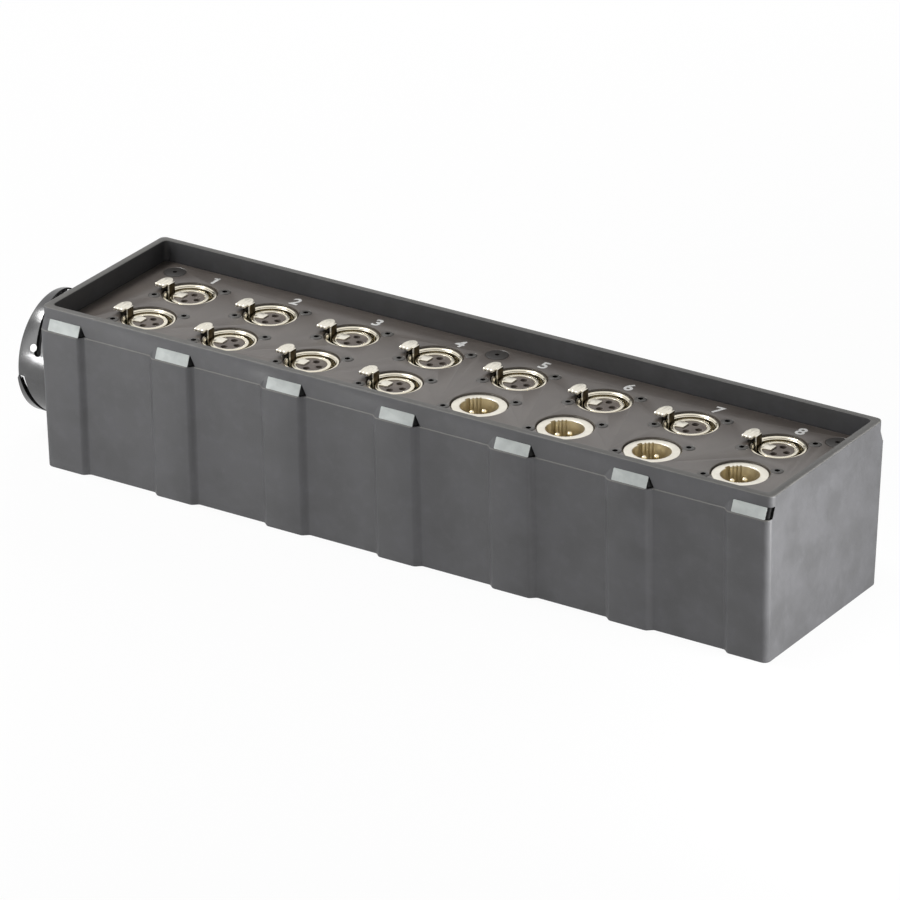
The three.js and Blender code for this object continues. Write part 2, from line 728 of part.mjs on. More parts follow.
addPiece("rubber_housing", rubberHousing(), "rubber");
addPiece("connector_panel", connectorPanel(), "blackPlate");
panelScrewPlaces().forEach(([x, y], i) => {
  addPiece(`panel_screw_${i + 1}`, panelScrew(), "blackSteel", x, y);
});
for (const { name, x, y, female } of socketPlaces()) {
  if (female) {
    addPiece(`female_shell_${name}`, femaleShell(), "nickel", x, y, ringPlane);
    addPiece(`female_insert_${name}`, femaleInsert(), "insulator", x, y, ringPlane);
    addPiece(`latch_${name}`, latch(), "nickel", x, y, ringPlane);
  } else {
    addPiece(`male_shell_${name}`, maleShell(), "nickel", x, y, ringPlane);
    addPiece(`male_insert_${name}`, maleInsert(), "goldTan", x, y, ringPlane);
  }
}
addPiece("multipin_gasket", multipinGasket(), "seal");
addPiece("multipin_shell", multipinShell(), "blackGloss");
addPiece("multipin_insert", multipinInsert(), "insulator");
addPiece("multipin_coupling_ring", couplingRing(), "blackGloss");
addPiece("multipin_snap_ring", snapRing(), "blackSteel");
addPiece("multipin_lock_nut", lockNut(), "blackSteel");
addPiece("wiring_loom", wiringLoom(), "cable");

export default stageBox;
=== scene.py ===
# %% [markdown]
# # Dressing a rubber stage box
# A stage box is a long rubber tub with a metal panel sunk into its top. Microphone cables plug into the
# panel, and one thick cable takes all their signals away through the round multipin socket on the end.
# The solids that carry it are packed already, at their real size and with their joints. Here they are
# loaded as a fixed frame, and each surface that shows gets its fine shape and its finish. All lengths are
# in metres.

# %% Load the frame
import math

import bmesh
import bpy
from mathutils import Matrix, Vector


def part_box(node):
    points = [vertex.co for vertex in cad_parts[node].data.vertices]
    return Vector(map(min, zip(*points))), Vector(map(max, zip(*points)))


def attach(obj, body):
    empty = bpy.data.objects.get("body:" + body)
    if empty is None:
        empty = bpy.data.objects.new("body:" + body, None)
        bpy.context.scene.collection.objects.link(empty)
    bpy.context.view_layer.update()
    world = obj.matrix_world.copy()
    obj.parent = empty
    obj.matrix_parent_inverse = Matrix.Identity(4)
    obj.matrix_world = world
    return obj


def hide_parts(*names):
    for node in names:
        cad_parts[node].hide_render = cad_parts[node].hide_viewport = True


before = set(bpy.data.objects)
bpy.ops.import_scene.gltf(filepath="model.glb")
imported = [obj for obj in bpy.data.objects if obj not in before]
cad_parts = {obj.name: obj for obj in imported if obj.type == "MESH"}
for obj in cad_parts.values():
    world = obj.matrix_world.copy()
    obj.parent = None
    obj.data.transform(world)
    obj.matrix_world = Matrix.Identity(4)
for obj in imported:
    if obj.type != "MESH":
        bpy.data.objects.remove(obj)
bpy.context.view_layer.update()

# %% [markdown]
# ## Camera
# The photograph is taken from above the right-hand front corner with a long lens, so far edges stay
# nearly parallel to near ones. The camera is given as a photographer would say it: which way it looks
# from, how high, how far away, and the focal length. Its axes are built from those angles, and then it is
# moved a little across its own view, which slides the box to its place in the picture without changing
# the perspective.

# %% Place the camera
CAMERA_AZIMUTH = math.radians(32.3638)
CAMERA_ELEVATION = math.radians(24.5114)
CAMERA_ROLL = math.radians(0.1626)
CAMERA_DISTANCE = 2.8971
CAMERA_SLIDE = (-0.002026, -0.037378)
CAMERA_LENS = 275.93
CAMERA_CLIP = 50
AIM_HEIGHT = 0.0753

back = Vector((math.sin(CAMERA_AZIMUTH) * math.cos(CAMERA_ELEVATION),
               -math.cos(CAMERA_AZIMUTH) * math.cos(CAMERA_ELEVATION),
               math.sin(CAMERA_ELEVATION)))
level_right = Vector((math.cos(CAMERA_AZIMUTH), math.sin(CAMERA_AZIMUTH), 0))
level_up = back.cross(level_right)
right = level_right * math.cos(CAMERA_ROLL) + level_up * math.sin(CAMERA_ROLL)
up = level_up * math.cos(CAMERA_ROLL) - level_right * math.sin(CAMERA_ROLL)

camera_data = bpy.data.cameras.new("camera")
camera_data.lens = CAMERA_LENS
camera_data.clip_end = CAMERA_CLIP
camera = bpy.data.objects.new("camera", camera_data)
aim = Vector((0, 0, AIM_HEIGHT))
camera.matrix_world = Matrix((right, up, back)).transposed().to_4x4()
camera.location = aim + back * CAMERA_DISTANCE + right * CAMERA_SLIDE[0] + up * CAMERA_SLIDE[1]
bpy.context.scene.collection.objects.link(camera)
bpy.context.scene.camera = camera
print("camera at", [round(value, 4) for value in camera.location])

# %% [markdown]
# ## Shader sums in plain Python
# A node tree is quick to draw by hand, but long to read in a script. This small class wraps one socket,
# and its operators add the Math node that the sum needs, so that a shade is written as `clouds * 0.6 +
# grain * 0.4`. Two helpers find a socket and feed it a link or a value, and one more turns a colour
# written as it looks on a screen into the linear numbers that a shader takes.

# %% Wrap a socket
def pick(sockets, key):
    """A socket by its number, its identifier or its name."""
    if isinstance(key, int):
        return sockets[key]
    return next(socket for socket in sockets if key in (socket.identifier, socket.name))


def feed(tree, entry, value):
    """Links a signal to a socket, or writes a plain value on it."""
    if isinstance(value, Signal):
        tree.links.new(value.socket, entry)
    else:
        entry.default_value = value


class Signal:
    """What one socket gives out. Sums and products of signals add the nodes that they need."""

    def __init__(self, tree, socket):
        self.tree = tree
        self.socket = socket

    def math(self, operation, first, second):
        node = self.tree.nodes.new("ShaderNodeMath")
        node.operation = operation
        feed(self.tree, node.inputs[0], first)
        feed(self.tree, node.inputs[1], second)
        return Signal(self.tree, node.outputs[0])

    def __add__(self, other):
        return self.math("ADD", self, other)

    def __mul__(self, other):
        return self.math("MULTIPLY", self, other)

    __radd__ = __add__


def tone(code):
    """The linear colour of six hexadecimal digits as they look on a screen."""
    shares = [int(code[i:i + 2], 16) / 255 for i in (0, 2, 4)]
    return tuple(s / 12.92 if s <= 0.04045 else ((s + 0.055) / 1.055) ** 2.4 for s in shares) + (1.0,)


print("a mid grey is", [round(value, 3) for value in tone("808080")])

# %% [markdown]
# ## A finish
# Every finish is one Principled shader with a few procedural nodes in front of it. One method adds any
# node: its settings come first, because they decide which sockets it has, and then its sockets get values
# or links. The patterns read Object coordinates. Every piece's origin is the origin of the whole box, so
# a pattern runs on from one piece to the next, and a size in metres is a size on the real thing.

# %% Build a finish
class Nodes:
    """A node tree that nodes are added to."""

    def __init__(self, tree):
        self.tree = tree

    def add(self, kind, settings=None, values=None, output=0):
        """Adds a node, and returns what one of its outputs gives."""
        node = self.tree.nodes.new(kind)
        for key, value in (settings or {}).items():
            setattr(node, key, value)
        for key, value in (values or {}).items():
            feed(self.tree, pick(node.inputs, key), value)
        return Signal(self.tree, pick(node.outputs, output))


class Finish(Nodes):
    """A material with one Principled shader."""

    def __init__(self, name):
        self.material = bpy.data.materials.new(name)
        self.material.use_nodes = True
        super().__init__(self.material.node_tree)
        self.shader = self.tree.nodes["Principled BSDF"]
        self.spot = self.add("ShaderNodeTexCoord", output="Object")

    def noise(self, size, detail=3.0, stretch=(1, 1, 1)):
        """Soft noise with blotches of about one size, longer along an axis where its stretch is below 1."""
        spot = self.add("ShaderNodeVectorMath", {"operation": "MULTIPLY"}, {0: self.spot, 1: stretch})
        return self.add("ShaderNodeTexNoise", values={"Vector": spot, "Scale": 1 / size, "Detail": detail})

    def band(self, signal, low, high):
        """Spreads a signal between two levels over 0 to 1."""
        levels = {"Value": signal, "From Min": low, "From Max": high}
        return self.add("ShaderNodeMapRange", {"interpolation_type": "SMOOTHSTEP"}, levels)

    def mix(self, share, first, second):
        """Blends two colours."""
        colours = {"Factor_Float": share, "A_Color": first, "B_Color": second}
        return self.add("ShaderNodeMix", {"data_type": "RGBA"}, colours, "Result_Color")

    def bump(self, height, depth, under=None):
        """Turns a height into a relief so many metres deep, over another relief if there is one."""
        values = {"Height": height, "Distance": depth}
        if under is not None:
            values["Normal"] = under
        return self.add("ShaderNodeBump", values=values)

    def wear(self, **values):
        """Sets the shader's sockets, named with an underline for each space."""
        for key, value in values.items():
            feed(self.tree, pick(self.shader.inputs, key.replace("_", " ")), value)
        return self.material


print("a finish starts from", len(Finish("test_swatch").tree.nodes), "nodes")
bpy.data.materials.remove(bpy.data.materials["test_swatch"])

# %% [markdown]
# ## Rubber and labels
# The tub is moulded from black rubber, which looks dark grey under a soft light. Its skin has a faint
# cloudy mottling a centimetre or two across, upright streaks where the mould was drawn, and a fine grain
# that breaks the shine up. The faces of the rim and the seam that look upwards get a paler rubber, which
# is painted light on those tops. The labels are a pale film for writing on, so they are only a little
# uneven. The slots beside them get a near-black rubber, which is painted shade.

# %% Finish the rubber and the label film
CLOUD_SIZE = 0.016
SCUFF_SIZE = 0.005
STREAK_SIZE = 0.006
UPRIGHT = (1, 1, 0.12)
DIMPLE_SIZE = 0.0024
DIMPLE_DEPTH = 0.00006
RUBBER_GRAIN_SIZE = 0.00035
RUBBER_GRAIN_DEPTH = 0.00003
SMUDGE_SIZE = 0.004
FILM_GRAIN_SIZE = 0.0006
FILM_GRAIN_DEPTH = 0.00002


def rubber_finish(name, dark, light, shine=0.42):
    """Moulded rubber between two tones."""
    finish = Finish(name)
    clouds = finish.band(finish.noise(CLOUD_SIZE, 6), 0.36, 0.64)
    scuffs = finish.band(finish.noise(SCUFF_SIZE, 5), 0.46, 0.7)
    streaks = finish.noise(STREAK_SIZE, 4, UPRIGHT)
    grain = finish.noise(RUBBER_GRAIN_SIZE, 2)
    shade = clouds * 0.5 + streaks * 0.25 + scuffs * 0.25
    relief = finish.bump(finish.noise(DIMPLE_SIZE, 3), DIMPLE_DEPTH, finish.bump(grain, RUBBER_GRAIN_DEPTH))
    return finish.wear(Base_Color=finish.mix(shade, tone(dark), tone(light)), Normal=relief,
                       Roughness=0.44 + clouds * 0.14 + grain * 0.08, Specular_IOR_Level=shine)


def label_finish():
    finish = Finish("label_film")
    smudges = finish.band(finish.noise(SMUDGE_SIZE, 4), 0.35, 0.7)
    relief = finish.bump(finish.noise(FILM_GRAIN_SIZE, 2), FILM_GRAIN_DEPTH)
    return finish.wear(Base_Color=finish.mix(smudges, tone("969a98"), tone("8e9290")), Normal=relief,
                       Roughness=0.5 + smudges * 0.15)


TUB_RUBBER = rubber_finish("tub_rubber", "363637", "424244")
# A near-black rubber: painted shade for the slots beside the labels and for the small screws' drives.
PAINTED_RECESS_SHADE = rubber_finish("painted_recess_shade", "0f0f0f", "161616", 0.08)
# A paler rubber: painted light on the faces of the rim and the seam that look upwards.
PAINTED_TOP_LIGHT_RUBBER = rubber_finish("painted_top_light_rubber", "4e4d4b", "605f5c")
GASKET_RUBBER = rubber_finish("gasket_rubber", "161616", "1f1f1f")
LABEL_FILM = label_finish()
print("materials so far:", [material.name for material in bpy.data.materials])

# %% [markdown]
# ## Metal and plastic
# The panel is steel with a satin black coat, which the light turns brown-grey. The sockets are cast and
# plated with nickel, a metal a little warmer than chrome: light that bounces several times inside a deep
# socket turns gold by itself, because each bounce takes some blue away. The male bores are plated duller
# than the rings, so they get a finish of their own. The latches' stems get a dark brown metal on the sides
# that face the socket's middle, which is painted shade.

# %% Finish the metals and plastics
POLISH_SIZE = 0.0035
POLISH_TINT = 0.9
WAVE_SIZE = 0.0016
COAT_CLOUD_SIZE = 0.012


def plated_finish(name, colour, rough, unevenness):
    """A plated metal: bright, with faint clouds in its polish and a slight waviness left by the casting."""
    finish = Finish(name)
    polish = finish.band(finish.noise(POLISH_SIZE, 4), 0.3, 0.7)
    relief = finish.bump(finish.noise(WAVE_SIZE, 2), unevenness)
    darker = tuple(share * POLISH_TINT for share in tone(colour)[:3]) + (1.0,)
    return finish.wear(Base_Color=finish.mix(polish, tone(colour), darker), Metallic=1.0,
                       Roughness=rough + polish * 0.08, Normal=relief)


def painted_finish(name, dark, light, rough, grain_size, grain_depth, shine=0.5):
    """A coat or a moulded plastic: two near tones, and a grain that shows in the shine."""
    finish = Finish(name)
    clouds = finish.band(finish.noise(COAT_CLOUD_SIZE, 4), 0.35, 0.65)
    grain = finish.noise(grain_size, 2)
    return finish.wear(Base_Color=finish.mix(clouds * 0.6 + grain * 0.4, tone(dark), tone(light)),
                       Roughness=rough + grain * 0.1, Normal=finish.bump(grain, grain_depth),
                       Specular_IOR_Level=shine)


PANEL_COAT = painted_finish("panel_coat", "443d38", "4f4842", 0.34, 0.0004, 0.00002, 1.0)
SCREW_BLACK = painted_finish("screw_black", "1d1c1b", "282725", 0.3, 0.0008, 0.00002)
SCREW_DARK = painted_finish("screw_dark", "2e2c2a", "383634", 0.34, 0.0006, 0.00002)
SCREW_GREY = painted_finish("screw_grey", "403e3b", "4b4946", 0.38, 0.0006, 0.00002)
INSULATOR = painted_finish("insulator", "534b46", "625a54", 0.5, 0.0006, 0.00002)
PIN_BED = painted_finish("pin_bed", "6a5c3c", "776846", 0.45, 0.0006, 0.00002)
GLOSS_BLACK = painted_finish("gloss_black", "1c1c1d", "262627", 0.17, 0.003, 0.00002, 1.0)
SHELL_BLACK = painted_finish("shell_black", "1a1a1a", "242424", 0.35, 0.001, 0.00002)
CABLE_SHEATH = painted_finish("cable_sheath", "161616", "202020", 0.55, 0.001, 0.00003)
PRINT_WHITE = painted_finish("print_white", "dcdcda", "e8e8e6", 0.5, 0.0005, 0.00001)
NICKEL = plated_finish("nickel", "e9e2d0", 0.14, 0.00001)
SATIN_NICKEL = plated_finish("satin_nickel", "eae5d8", 0.28, 0.00002)
BORE_NICKEL = plated_finish("bore_nickel", "e3d8bc", 0.36, 0.00001)
# A dark brown metal for the stem's sides that face the socket's middle: painted shade for the dark slot and
# bore they face.
STEM_PAINTED_SHADE = plated_finish("stem_painted_shade", "4a3f2c", 0.3, 0.00001)
CONTACT_METAL = plated_finish("contact_metal", "efe6cc", 0.16, 0.00001)
print("materials in all:", len(bpy.data.materials))

# %% [markdown]
# ## Shapes from operators
# Most pieces here are turned, stamped or moulded, so a few helpers cover them. A turned piece is a
# profile spun about Z. A stamped one is an outline with rounded corners, pushed up to its thickness.
# Sharp edges are then bevelled by the angle at which their faces meet, because no real edge is perfectly
# sharp, and it is the small round at an edge that catches the light.

# %% Spin, stamp and bevel
MERGE_DISTANCE = 1e-6


def tidied(bm):
    """Merges doubled vertices and turns all faces outwards."""
    bmesh.ops.remove_doubles(bm, verts=bm.verts, dist=MERGE_DISTANCE)
    bmesh.ops.recalc_face_normals(bm, faces=bm.faces)
    return bm


def spun(corners, segments, closed=True):
    """Turns (radius, height) corners about Z. A closed profile makes a ring; an open one ends on the axis."""
    bm = bmesh.new()
    dots = [bm.verts.new((radius, 0, height)) for radius, height in corners]
    lines = [bm.edges.new(pair) for pair in zip(dots, dots[1:])]
    if closed:
        lines.append(bm.edges.new((dots[-1], dots[0])))
    bmesh.ops.spin(bm, geom=dots + lines, cent=(0, 0, 0), axis=(0, 0, 1), angle=2 * math.pi,
                   steps=segments, use_merge=True)
    return tidied(bm)


def turned_rod(radius, low, high, segments):
    return spun([(0, low), (radius, low), (radius, high), (0, high)], segments, closed=False)


def slab(corners, step, radius=0.0, steps=6):
    """A flat outline with its corners rounded, pushed along a step."""
    bm = bmesh.new()
    bm.faces.new([bm.verts.new(corner) for corner in corners])
    if radius > 0:
        bmesh.ops.bevel(bm, geom=bm.verts[:], offset=radius, affect="VERTICES", segments=steps,
                        profile=0.5, material=-1)
    pushed = bmesh.ops.extrude_face_region(bm, geom=bm.faces[:])["geom"]
    lifted = [part for part in pushed if isinstance(part, bmesh.types.BMVert)]
    bmesh.ops.translate(bm, verts=lifted, vec=step)
    return tidied(bm)


def plate(corners, low, high, radius=0.0, steps=6):
    """A level outline pushed up from one height to another, with its corners rounded."""
    return slab([(x, y, low) for x, y in corners], (0, 0, high - low), radius, steps)


def shifted(bm, x, y, z):
    """Moves a shape itself."""
    bmesh.ops.translate(bm, verts=bm.verts, vec=(x, y, z))
    return bm


def turned(bm, angle, axis="Z"):
    """Turns a shape itself about an axis through the origin."""
    bmesh.ops.rotate(bm, verts=bm.verts, cent=(0, 0, 0), matrix=Matrix.Rotation(angle, 3, axis))
    return bm


def rectangle(length, width, x=0.0, y=0.0):
    """The four corners of a rectangle round a middle."""
    return [(x + sx * length / 2, y + sy * width / 2) for sx, sy in ((-1, -1), (1, -1), (1, 1), (-1, 1))]


def lies_above(height):
    """A test for edges that lie wholly at a height or above it."""
    return lambda edge: min(dot.co.z for dot in edge.verts) > height - MERGE_DISTANCE


def softened(bm, width, segments=2, least=40, where=None):
    """Rounds the edges at which faces meet at more than so many degrees."""
    sharp = [edge for edge in bm.edges if edge.is_manifold
             and edge.calc_face_angle() > math.radians(least) and (where is None or where(edge))]
    bmesh.ops.bevel(bm, geom=sharp, offset=width, offset_type="OFFSET", affect="EDGES", segments=segments,
                    profile=0.5, material=-1, clamp_overlap=True)
    return bm


print("a softened rod has", len(softened(turned_rod(0.001, 0, 0.002, 12), 0.0002).faces), "faces")

# %% [markdown]
# ## Joining and cutting
# Some shapes are easier to cut than to build: a slot through a ring, or sixteen holes in a panel. The
# Boolean modifier does that with its exact solver. It works on objects, so the helper makes two for a
# moment and reads the result back as a bmesh. Parts that only stand beside each other are joined without
# any cutting.

# %% Join and carve
def holder_of(bm):
    """A short-lived object around a bmesh."""
    mesh = bpy.data.meshes.new("holder")
    bm.to_mesh(mesh)
    bm.free()
    holder = bpy.data.objects.new("holder", mesh)
    bpy.context.scene.collection.objects.link(holder)
    return holder


def drop(holder):
    mesh = holder.data
    bpy.data.objects.remove(holder)
    bpy.data.meshes.remove(mesh)


def joined(*parts):
    """Several bmeshes as one, with no cutting."""
    whole = bmesh.new()
    for part in parts:
        holder = holder_of(part)
        whole.from_mesh(holder.data)
        drop(holder)
    return whole


CARVE_TRIES = 6
CARVE_SLACK = 0.02
CARVE_NUDGE = 0.000003


def carved(body, tool, operation="DIFFERENCE"):
    """Cuts the second bmesh out of the first, or fuses the two.

    A cut can't take more than its tool's volume. A result with less left is a slip of the solver, and the
    cut is then made again a hair beside the first.
    """
    whole = abs(body.calc_volume())
    taken = abs(tool.calc_volume()) if operation == "DIFFERENCE" else 0
    for attempt in range(CARVE_TRIES):
        blade = shifted(tool.copy(), *(Vector((1, 2, 3)) * CARVE_NUDGE * attempt))
        work, cutter = holder_of(body.copy()), holder_of(blade)
        change = work.modifiers.new("carve", "BOOLEAN")
        change.operation = operation
        change.solver = "EXACT"
        change.use_self = True
        change.object = cutter
        done = work.evaluated_get(bpy.context.evaluated_depsgraph_get())
        result = bmesh.new()
        result.from_mesh(done.to_mesh())
        done.to_mesh_clear()
        drop(work)
        drop(cutter)
        if abs(result.calc_volume()) > whole * (1 - CARVE_SLACK) - taken:
            break
        print("cut again, attempt", attempt + 2)
    body.free()
    tool.free()
    bmesh.ops.remove_doubles(result, verts=result.verts, dist=MERGE_DISTANCE)
    return result


sample = carved(turned_rod(0.002, 0, 0.002, 8), turned_rod(0.001, -0.001, 0.003, 8))
print("a rod with a hole has", len(sample.faces), "faces")
sample.free()

# %% [markdown]
# ## From a shape to a piece
# A finished bmesh becomes an object with its place in its mesh. It rides on a body of the frame, hides
# the imported solids that it stands in for, and takes its finishes in order. Faces that meet at a small
# angle are shaded as one smooth surface, and the rest keep their edge.

# %% Make a piece
made_pieces = []


def make_piece(name, bm, finishes, body="root", replaces=(), crease=28):
    """Turns a bmesh into a named piece that rides on a body."""
    mesh = bpy.data.meshes.new(name)
    bm.to_mesh(mesh)
    bm.free()
    for finish in finishes:
        mesh.materials.append(finish)
    mesh.shade_smooth()
    mesh.set_sharp_from_angle(angle=math.radians(crease))
    piece = bpy.data.objects.new(name, mesh)
    bpy.context.scene.collection.objects.link(piece)
    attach(piece, body)
    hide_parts(*replaces)
    made_pieces.append(piece)
    return piece


def moved(bm, x, y, z):
    """A copy of a bmesh, moved to its place."""
    return shifted(bm.copy(), x, y, z)


# %% [markdown]
# ## The tub's outline
# Seven ribs run down each long side and swell out of the wall in a smooth S. Above a seam near the top,
# each rib is cut off by a slope that carries a label. The outline is written once, for the front half of
# the tub, as spots: each knows its place along the wall, or how far round a corner it is, and how much of
# the rib's height it has. Along the wall it has three places: below the seam, just above it, where the
# rib's right side is a little wider, and at the top of the slope, where the rib has run out. The lengths
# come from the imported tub's box.

# %% Measure the tub and list its spots
tub_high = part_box("rubber_housing")[1]
RIM_HEIGHT = tub_high.z
BAND_HEIGHT = 0.0104
LABEL_TOP_DROP = 0.0051
SEAM_STEP = 0.0004
END_DRAFT = 0.0009
SIDE_DRAFT = 0.003
CORNER_RADIUS = 0.003
CORNER_STEPS = 8
BASE_EDGE = 0.0006
RIM_EDGE = 0.0007
EDGE_STEPS = 4
EDGE_STRIP = 0.0003
RIB_PITCH = 0.0565
RIB_HALF_WIDTH = 0.0083
RIB_FLANK = 0.0036
RIB_PROUD = 0.0023
LABEL_WIDENING = 0.0012
RIBS_EACH_WAY = 3
FLANK_STEPS = 6

seam_height = RIM_HEIGHT - BAND_HEIGHT
label_top = RIM_HEIGHT - LABEL_TOP_DROP
half_length = tub_high.x
half_width = tub_high.y - RIB_PROUD + SIDE_DRAFT * BAND_HEIGHT / RIM_HEIGHT


def wall_spot(along, stand, over_seam=None, over_label=None):
    """A spot on the wall, with its places along it at the three stages."""
    over_seam = along if over_seam is None else over_seam
    return {"along": (along, over_seam, over_seam if over_label is None else over_label), "stand": stand}


def flank_spots(middle, way):
    """Spots down one flank of a rib, from its face to the wall. Only a right-hand flank is widened."""
    edge = middle + way * RIB_HALF_WIDTH
    widening = LABEL_WIDENING if way > 0 else 0.0
    spots = []
    for step in range(FLANK_STEPS + 1):
        share = step / FLANK_STEPS
        over_seam = edge + widening + (way * RIB_FLANK - widening) * share
        spots.append(wall_spot(edge + way * RIB_FLANK * share, 1 - share * share * (3 - 2 * share), over_seam,
                               edge + widening))
    return spots


def corner_spots(way):
    """Spots round a front corner, from the front wall to the end wall, and one in the end wall's middle."""
    turns = [step / CORNER_STEPS * math.pi / 2 for step in range(CORNER_STEPS + 1)]
    return [{"turn": turn, "way": way, "stand": 1.0} for turn in turns] + [{"way": way}]


def front_spots():
    """Half the outline, from the middle of the left end along the front to the middle of the right end."""
    spots = list(reversed(corner_spots(-1)))
    for rib in range(-RIBS_EACH_WAY, RIBS_EACH_WAY + 1):
        if rib > -RIBS_EACH_WAY:
            spots += reversed(flank_spots(rib * RIB_PITCH, -1))
        if rib < RIBS_EACH_WAY:
            spots += flank_spots(rib * RIB_PITCH, 1)
    return spots + corner_spots(1)


print("the tub is", round(2 * half_length, 4), "by", round(2 * half_width, 4), "with",
      len(front_spots()), "spots in a half")

# %% [markdown]
# ## Raising the wall
# The row of spots is extruded edge by edge, one level at a time, and each new row is moved to where its
# level says: the base is rounded, the walls lean out a little towards the top, as a moulding must to
# leave its mould, a small step makes the seam of the long sides, and the rim ends in a round edge. A
# narrow strip beside each round edge keeps the wall's shading flat. A copy turned half way round makes
# the rear.

# %% Raise the wall level by level
def level(height, inset=0.0, stand=1.0, stage=0, step=0.0):
    """One height of the wall: its half sizes, how far the ribs stand out, and its stage along the wall."""
    lean = 1 - height / RIM_HEIGHT
    return {"height": height, "inset": inset, "end": half_length - END_DRAFT * lean - inset,
            "side": half_width - SIDE_DRAFT * lean - inset - step, "stand": RIB_PROUD * stand, "stage": stage}


def band_level(height, inset=0.0):
    """A height of the set-back band under the rim, over the ribs' slopes."""
    return level(height, inset, 0.0, 2, SEAM_STEP)


facet_low = level(seam_height + SEAM_STEP, stage=1, step=SEAM_STEP)
facet_high = band_level(label_top)


def wall_levels():
    turns = [step / EDGE_STEPS * math.pi / 2 for step in range(EDGE_STEPS + 1)]
    base = [level(BASE_EDGE * (1 - math.cos(turn)), BASE_EDGE * (1 - math.sin(turn))) for turn in turns]
    rim = [band_level(RIM_HEIGHT - RIM_EDGE * (1 - math.sin(turn)), RIM_EDGE * (1 - math.cos(turn)))
           for turn in turns]
    low_strip, high_strip = level(BASE_EDGE + EDGE_STRIP), band_level(RIM_HEIGHT - RIM_EDGE - EDGE_STRIP)
    return base + [low_strip, level(seam_height), facet_low, facet_high, high_strip] + rim


def spot_place(spot, at):
    """Where one spot lies at a level."""
    if "stand" not in spot:
        return Vector((spot["way"] * at["end"], 0, at["height"]))
    side = at["side"] + spot["stand"] * at["stand"]
    if "along" in spot:
        return Vector((spot["along"][at["stage"]], -side, at["height"]))
    reach = CORNER_RADIUS - at["inset"]
    end = at["end"] - reach * (1 - math.sin(spot["turn"]))
    return Vector((spot["way"] * end, reach * (1 - math.cos(spot["turn"])) - side, at["height"]))


def raised_wall():
    bm = bmesh.new()
    spots, levels = front_spots(), wall_levels()
    row = [bm.verts.new(spot_place(spot, levels[0])) for spot in spots]
    lines = [bm.edges.new(pair) for pair in zip(row, row[1:])]
    for upper in levels[1:]:
        fresh = bmesh.ops.extrude_edge_only(bm, edges=lines)["geom"]
        lines = [part for part in fresh if isinstance(part, bmesh.types.BMEdge)]
        new_row = {part for part in fresh if isinstance(part, bmesh.types.BMVert)}
        ups = [next(e.other_vert(dot) for e in dot.link_edges if e.other_vert(dot) in new_row) for dot in row]
        for dot, spot in zip(ups, spots):
            dot.co = spot_place(spot, upper)
        row = ups
    rear = turned(bm.copy(), math.pi)
    return tidied(joined(bm, rear))


def capped(bm):
    """Closes each open rim of a shape with one flat face."""
    open_lines = [edge for edge in bm.edges if edge.is_boundary]
    for height in sorted({round(edge.verts[0].co.z, 5) for edge in open_lines}):
        rim = [edge for edge in open_lines if abs(edge.verts[0].co.z - height) < MERGE_DISTANCE * 10]
        bmesh.ops.contextual_create(bm, geom=rim)
    return tidied(bm)


tub = capped(raised_wall())
print("wall:", len(tub.faces), "faces; open edges:", sum(edge.is_boundary for edge in tub.edges))

# %% [markdown]
# ## Hollowing the tub
# The recess that the panel sits in, the room under it and the hole for the multipin socket are cut out of
# the block. The recess leaves a rim wall, and a ledge for the panel to rest on. Then the inner edge of
# the rim gets its small round, and the slots beside the labels are pressed in: each is the side of a
# rib's slope, inset as one region and pushed inwards, with a near-black rubber on its faces as painted
# shade.

# %% Cut the recess, the hollow and the end hole
RIM_WALL = 0.0036
LEDGE_WIDTH = 0.005
FLOOR_THICKNESS = 0.006
RECESS_CORNER = 0.0025
SEAT_GAP = 0.0003
WALL_HOLE_GAP = 0.0004
OVERRUN = 0.002

panel_low, panel_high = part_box("connector_panel")
gasket_low, gasket_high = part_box("multipin_gasket")
shell_low, shell_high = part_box("multipin_shell")
ring_low, ring_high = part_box("multipin_coupling_ring")
ledge_top = panel_low.z - SEAT_GAP
recess_length = 2 * (half_length - RIM_WALL)
recess_width = 2 * (half_width - RIM_WALL)
multipin_height = (ring_low.z + ring_high.z) / 2
seat_floor = gasket_high.x + SEAT_GAP
GASKET_RADIUS = 0.0243
SHELL_TAIL_RADIUS = 0.0196
HOLE_REACH = 0.02
SEAT_REACH = 0.01
HOLE_SEGMENTS = 64


def on_end(bm, reach_from):
    """Lays a piece turned about Z on the left end: its height becomes the reach out from a place on X."""
    return shifted(turned(bm, -math.pi / 2, "Y"), reach_from, 0, multipin_height)


recess = plate(rectangle(recess_length, recess_width), ledge_top, RIM_HEIGHT + OVERRUN, RECESS_CORNER)
hollow = plate(rectangle(recess_length - 2 * LEDGE_WIDTH, recess_width - 2 * LEDGE_WIDTH),
               FLOOR_THICKNESS, ledge_top + OVERRUN, RECESS_CORNER)
wall_hole = turned_rod(SHELL_TAIL_RADIUS + WALL_HOLE_GAP, -HOLE_REACH, HOLE_REACH, HOLE_SEGMENTS)
gasket_seat = turned_rod(GASKET_RADIUS + SEAT_GAP, 0, SEAT_REACH, HOLE_SEGMENTS)
for tool in (recess, hollow, on_end(wall_hole, -half_length), on_end(gasket_seat, seat_floor)):
    tub = carved(tub, tool)
print("hollowed tub:", len(tub.faces), "faces")

# %% [markdown]
# ## The rim's edge and the slots beside the labels
# An edge belongs to the rim's inner edge if both its ends lie on the rim's height, inside the outer wall.
# A face belongs to a slot if its middle lies on a rib's right-hand flank above the seam, as seen from its
# side. On the last rib the slot goes round the corner instead, because there is no flank.

# %% Round the rim and press the slots in
RIM_INNER_EDGE = 0.0004
RIM_TOP_SLOPE = 0.5
SLOT_WALL = 0.00005
SLOT_DEPTH = 0.0013
END_SLOT = (0.1781, 0.1803)


def on_inner_rim(edge):
    return all(abs(dot.co.x) < recess_length / 2 + MERGE_DISTANCE
               and abs(dot.co.y) < recess_width / 2 + MERGE_DISTANCE
               and abs(dot.co.z - RIM_HEIGHT) < MERGE_DISTANCE for dot in edge.verts)


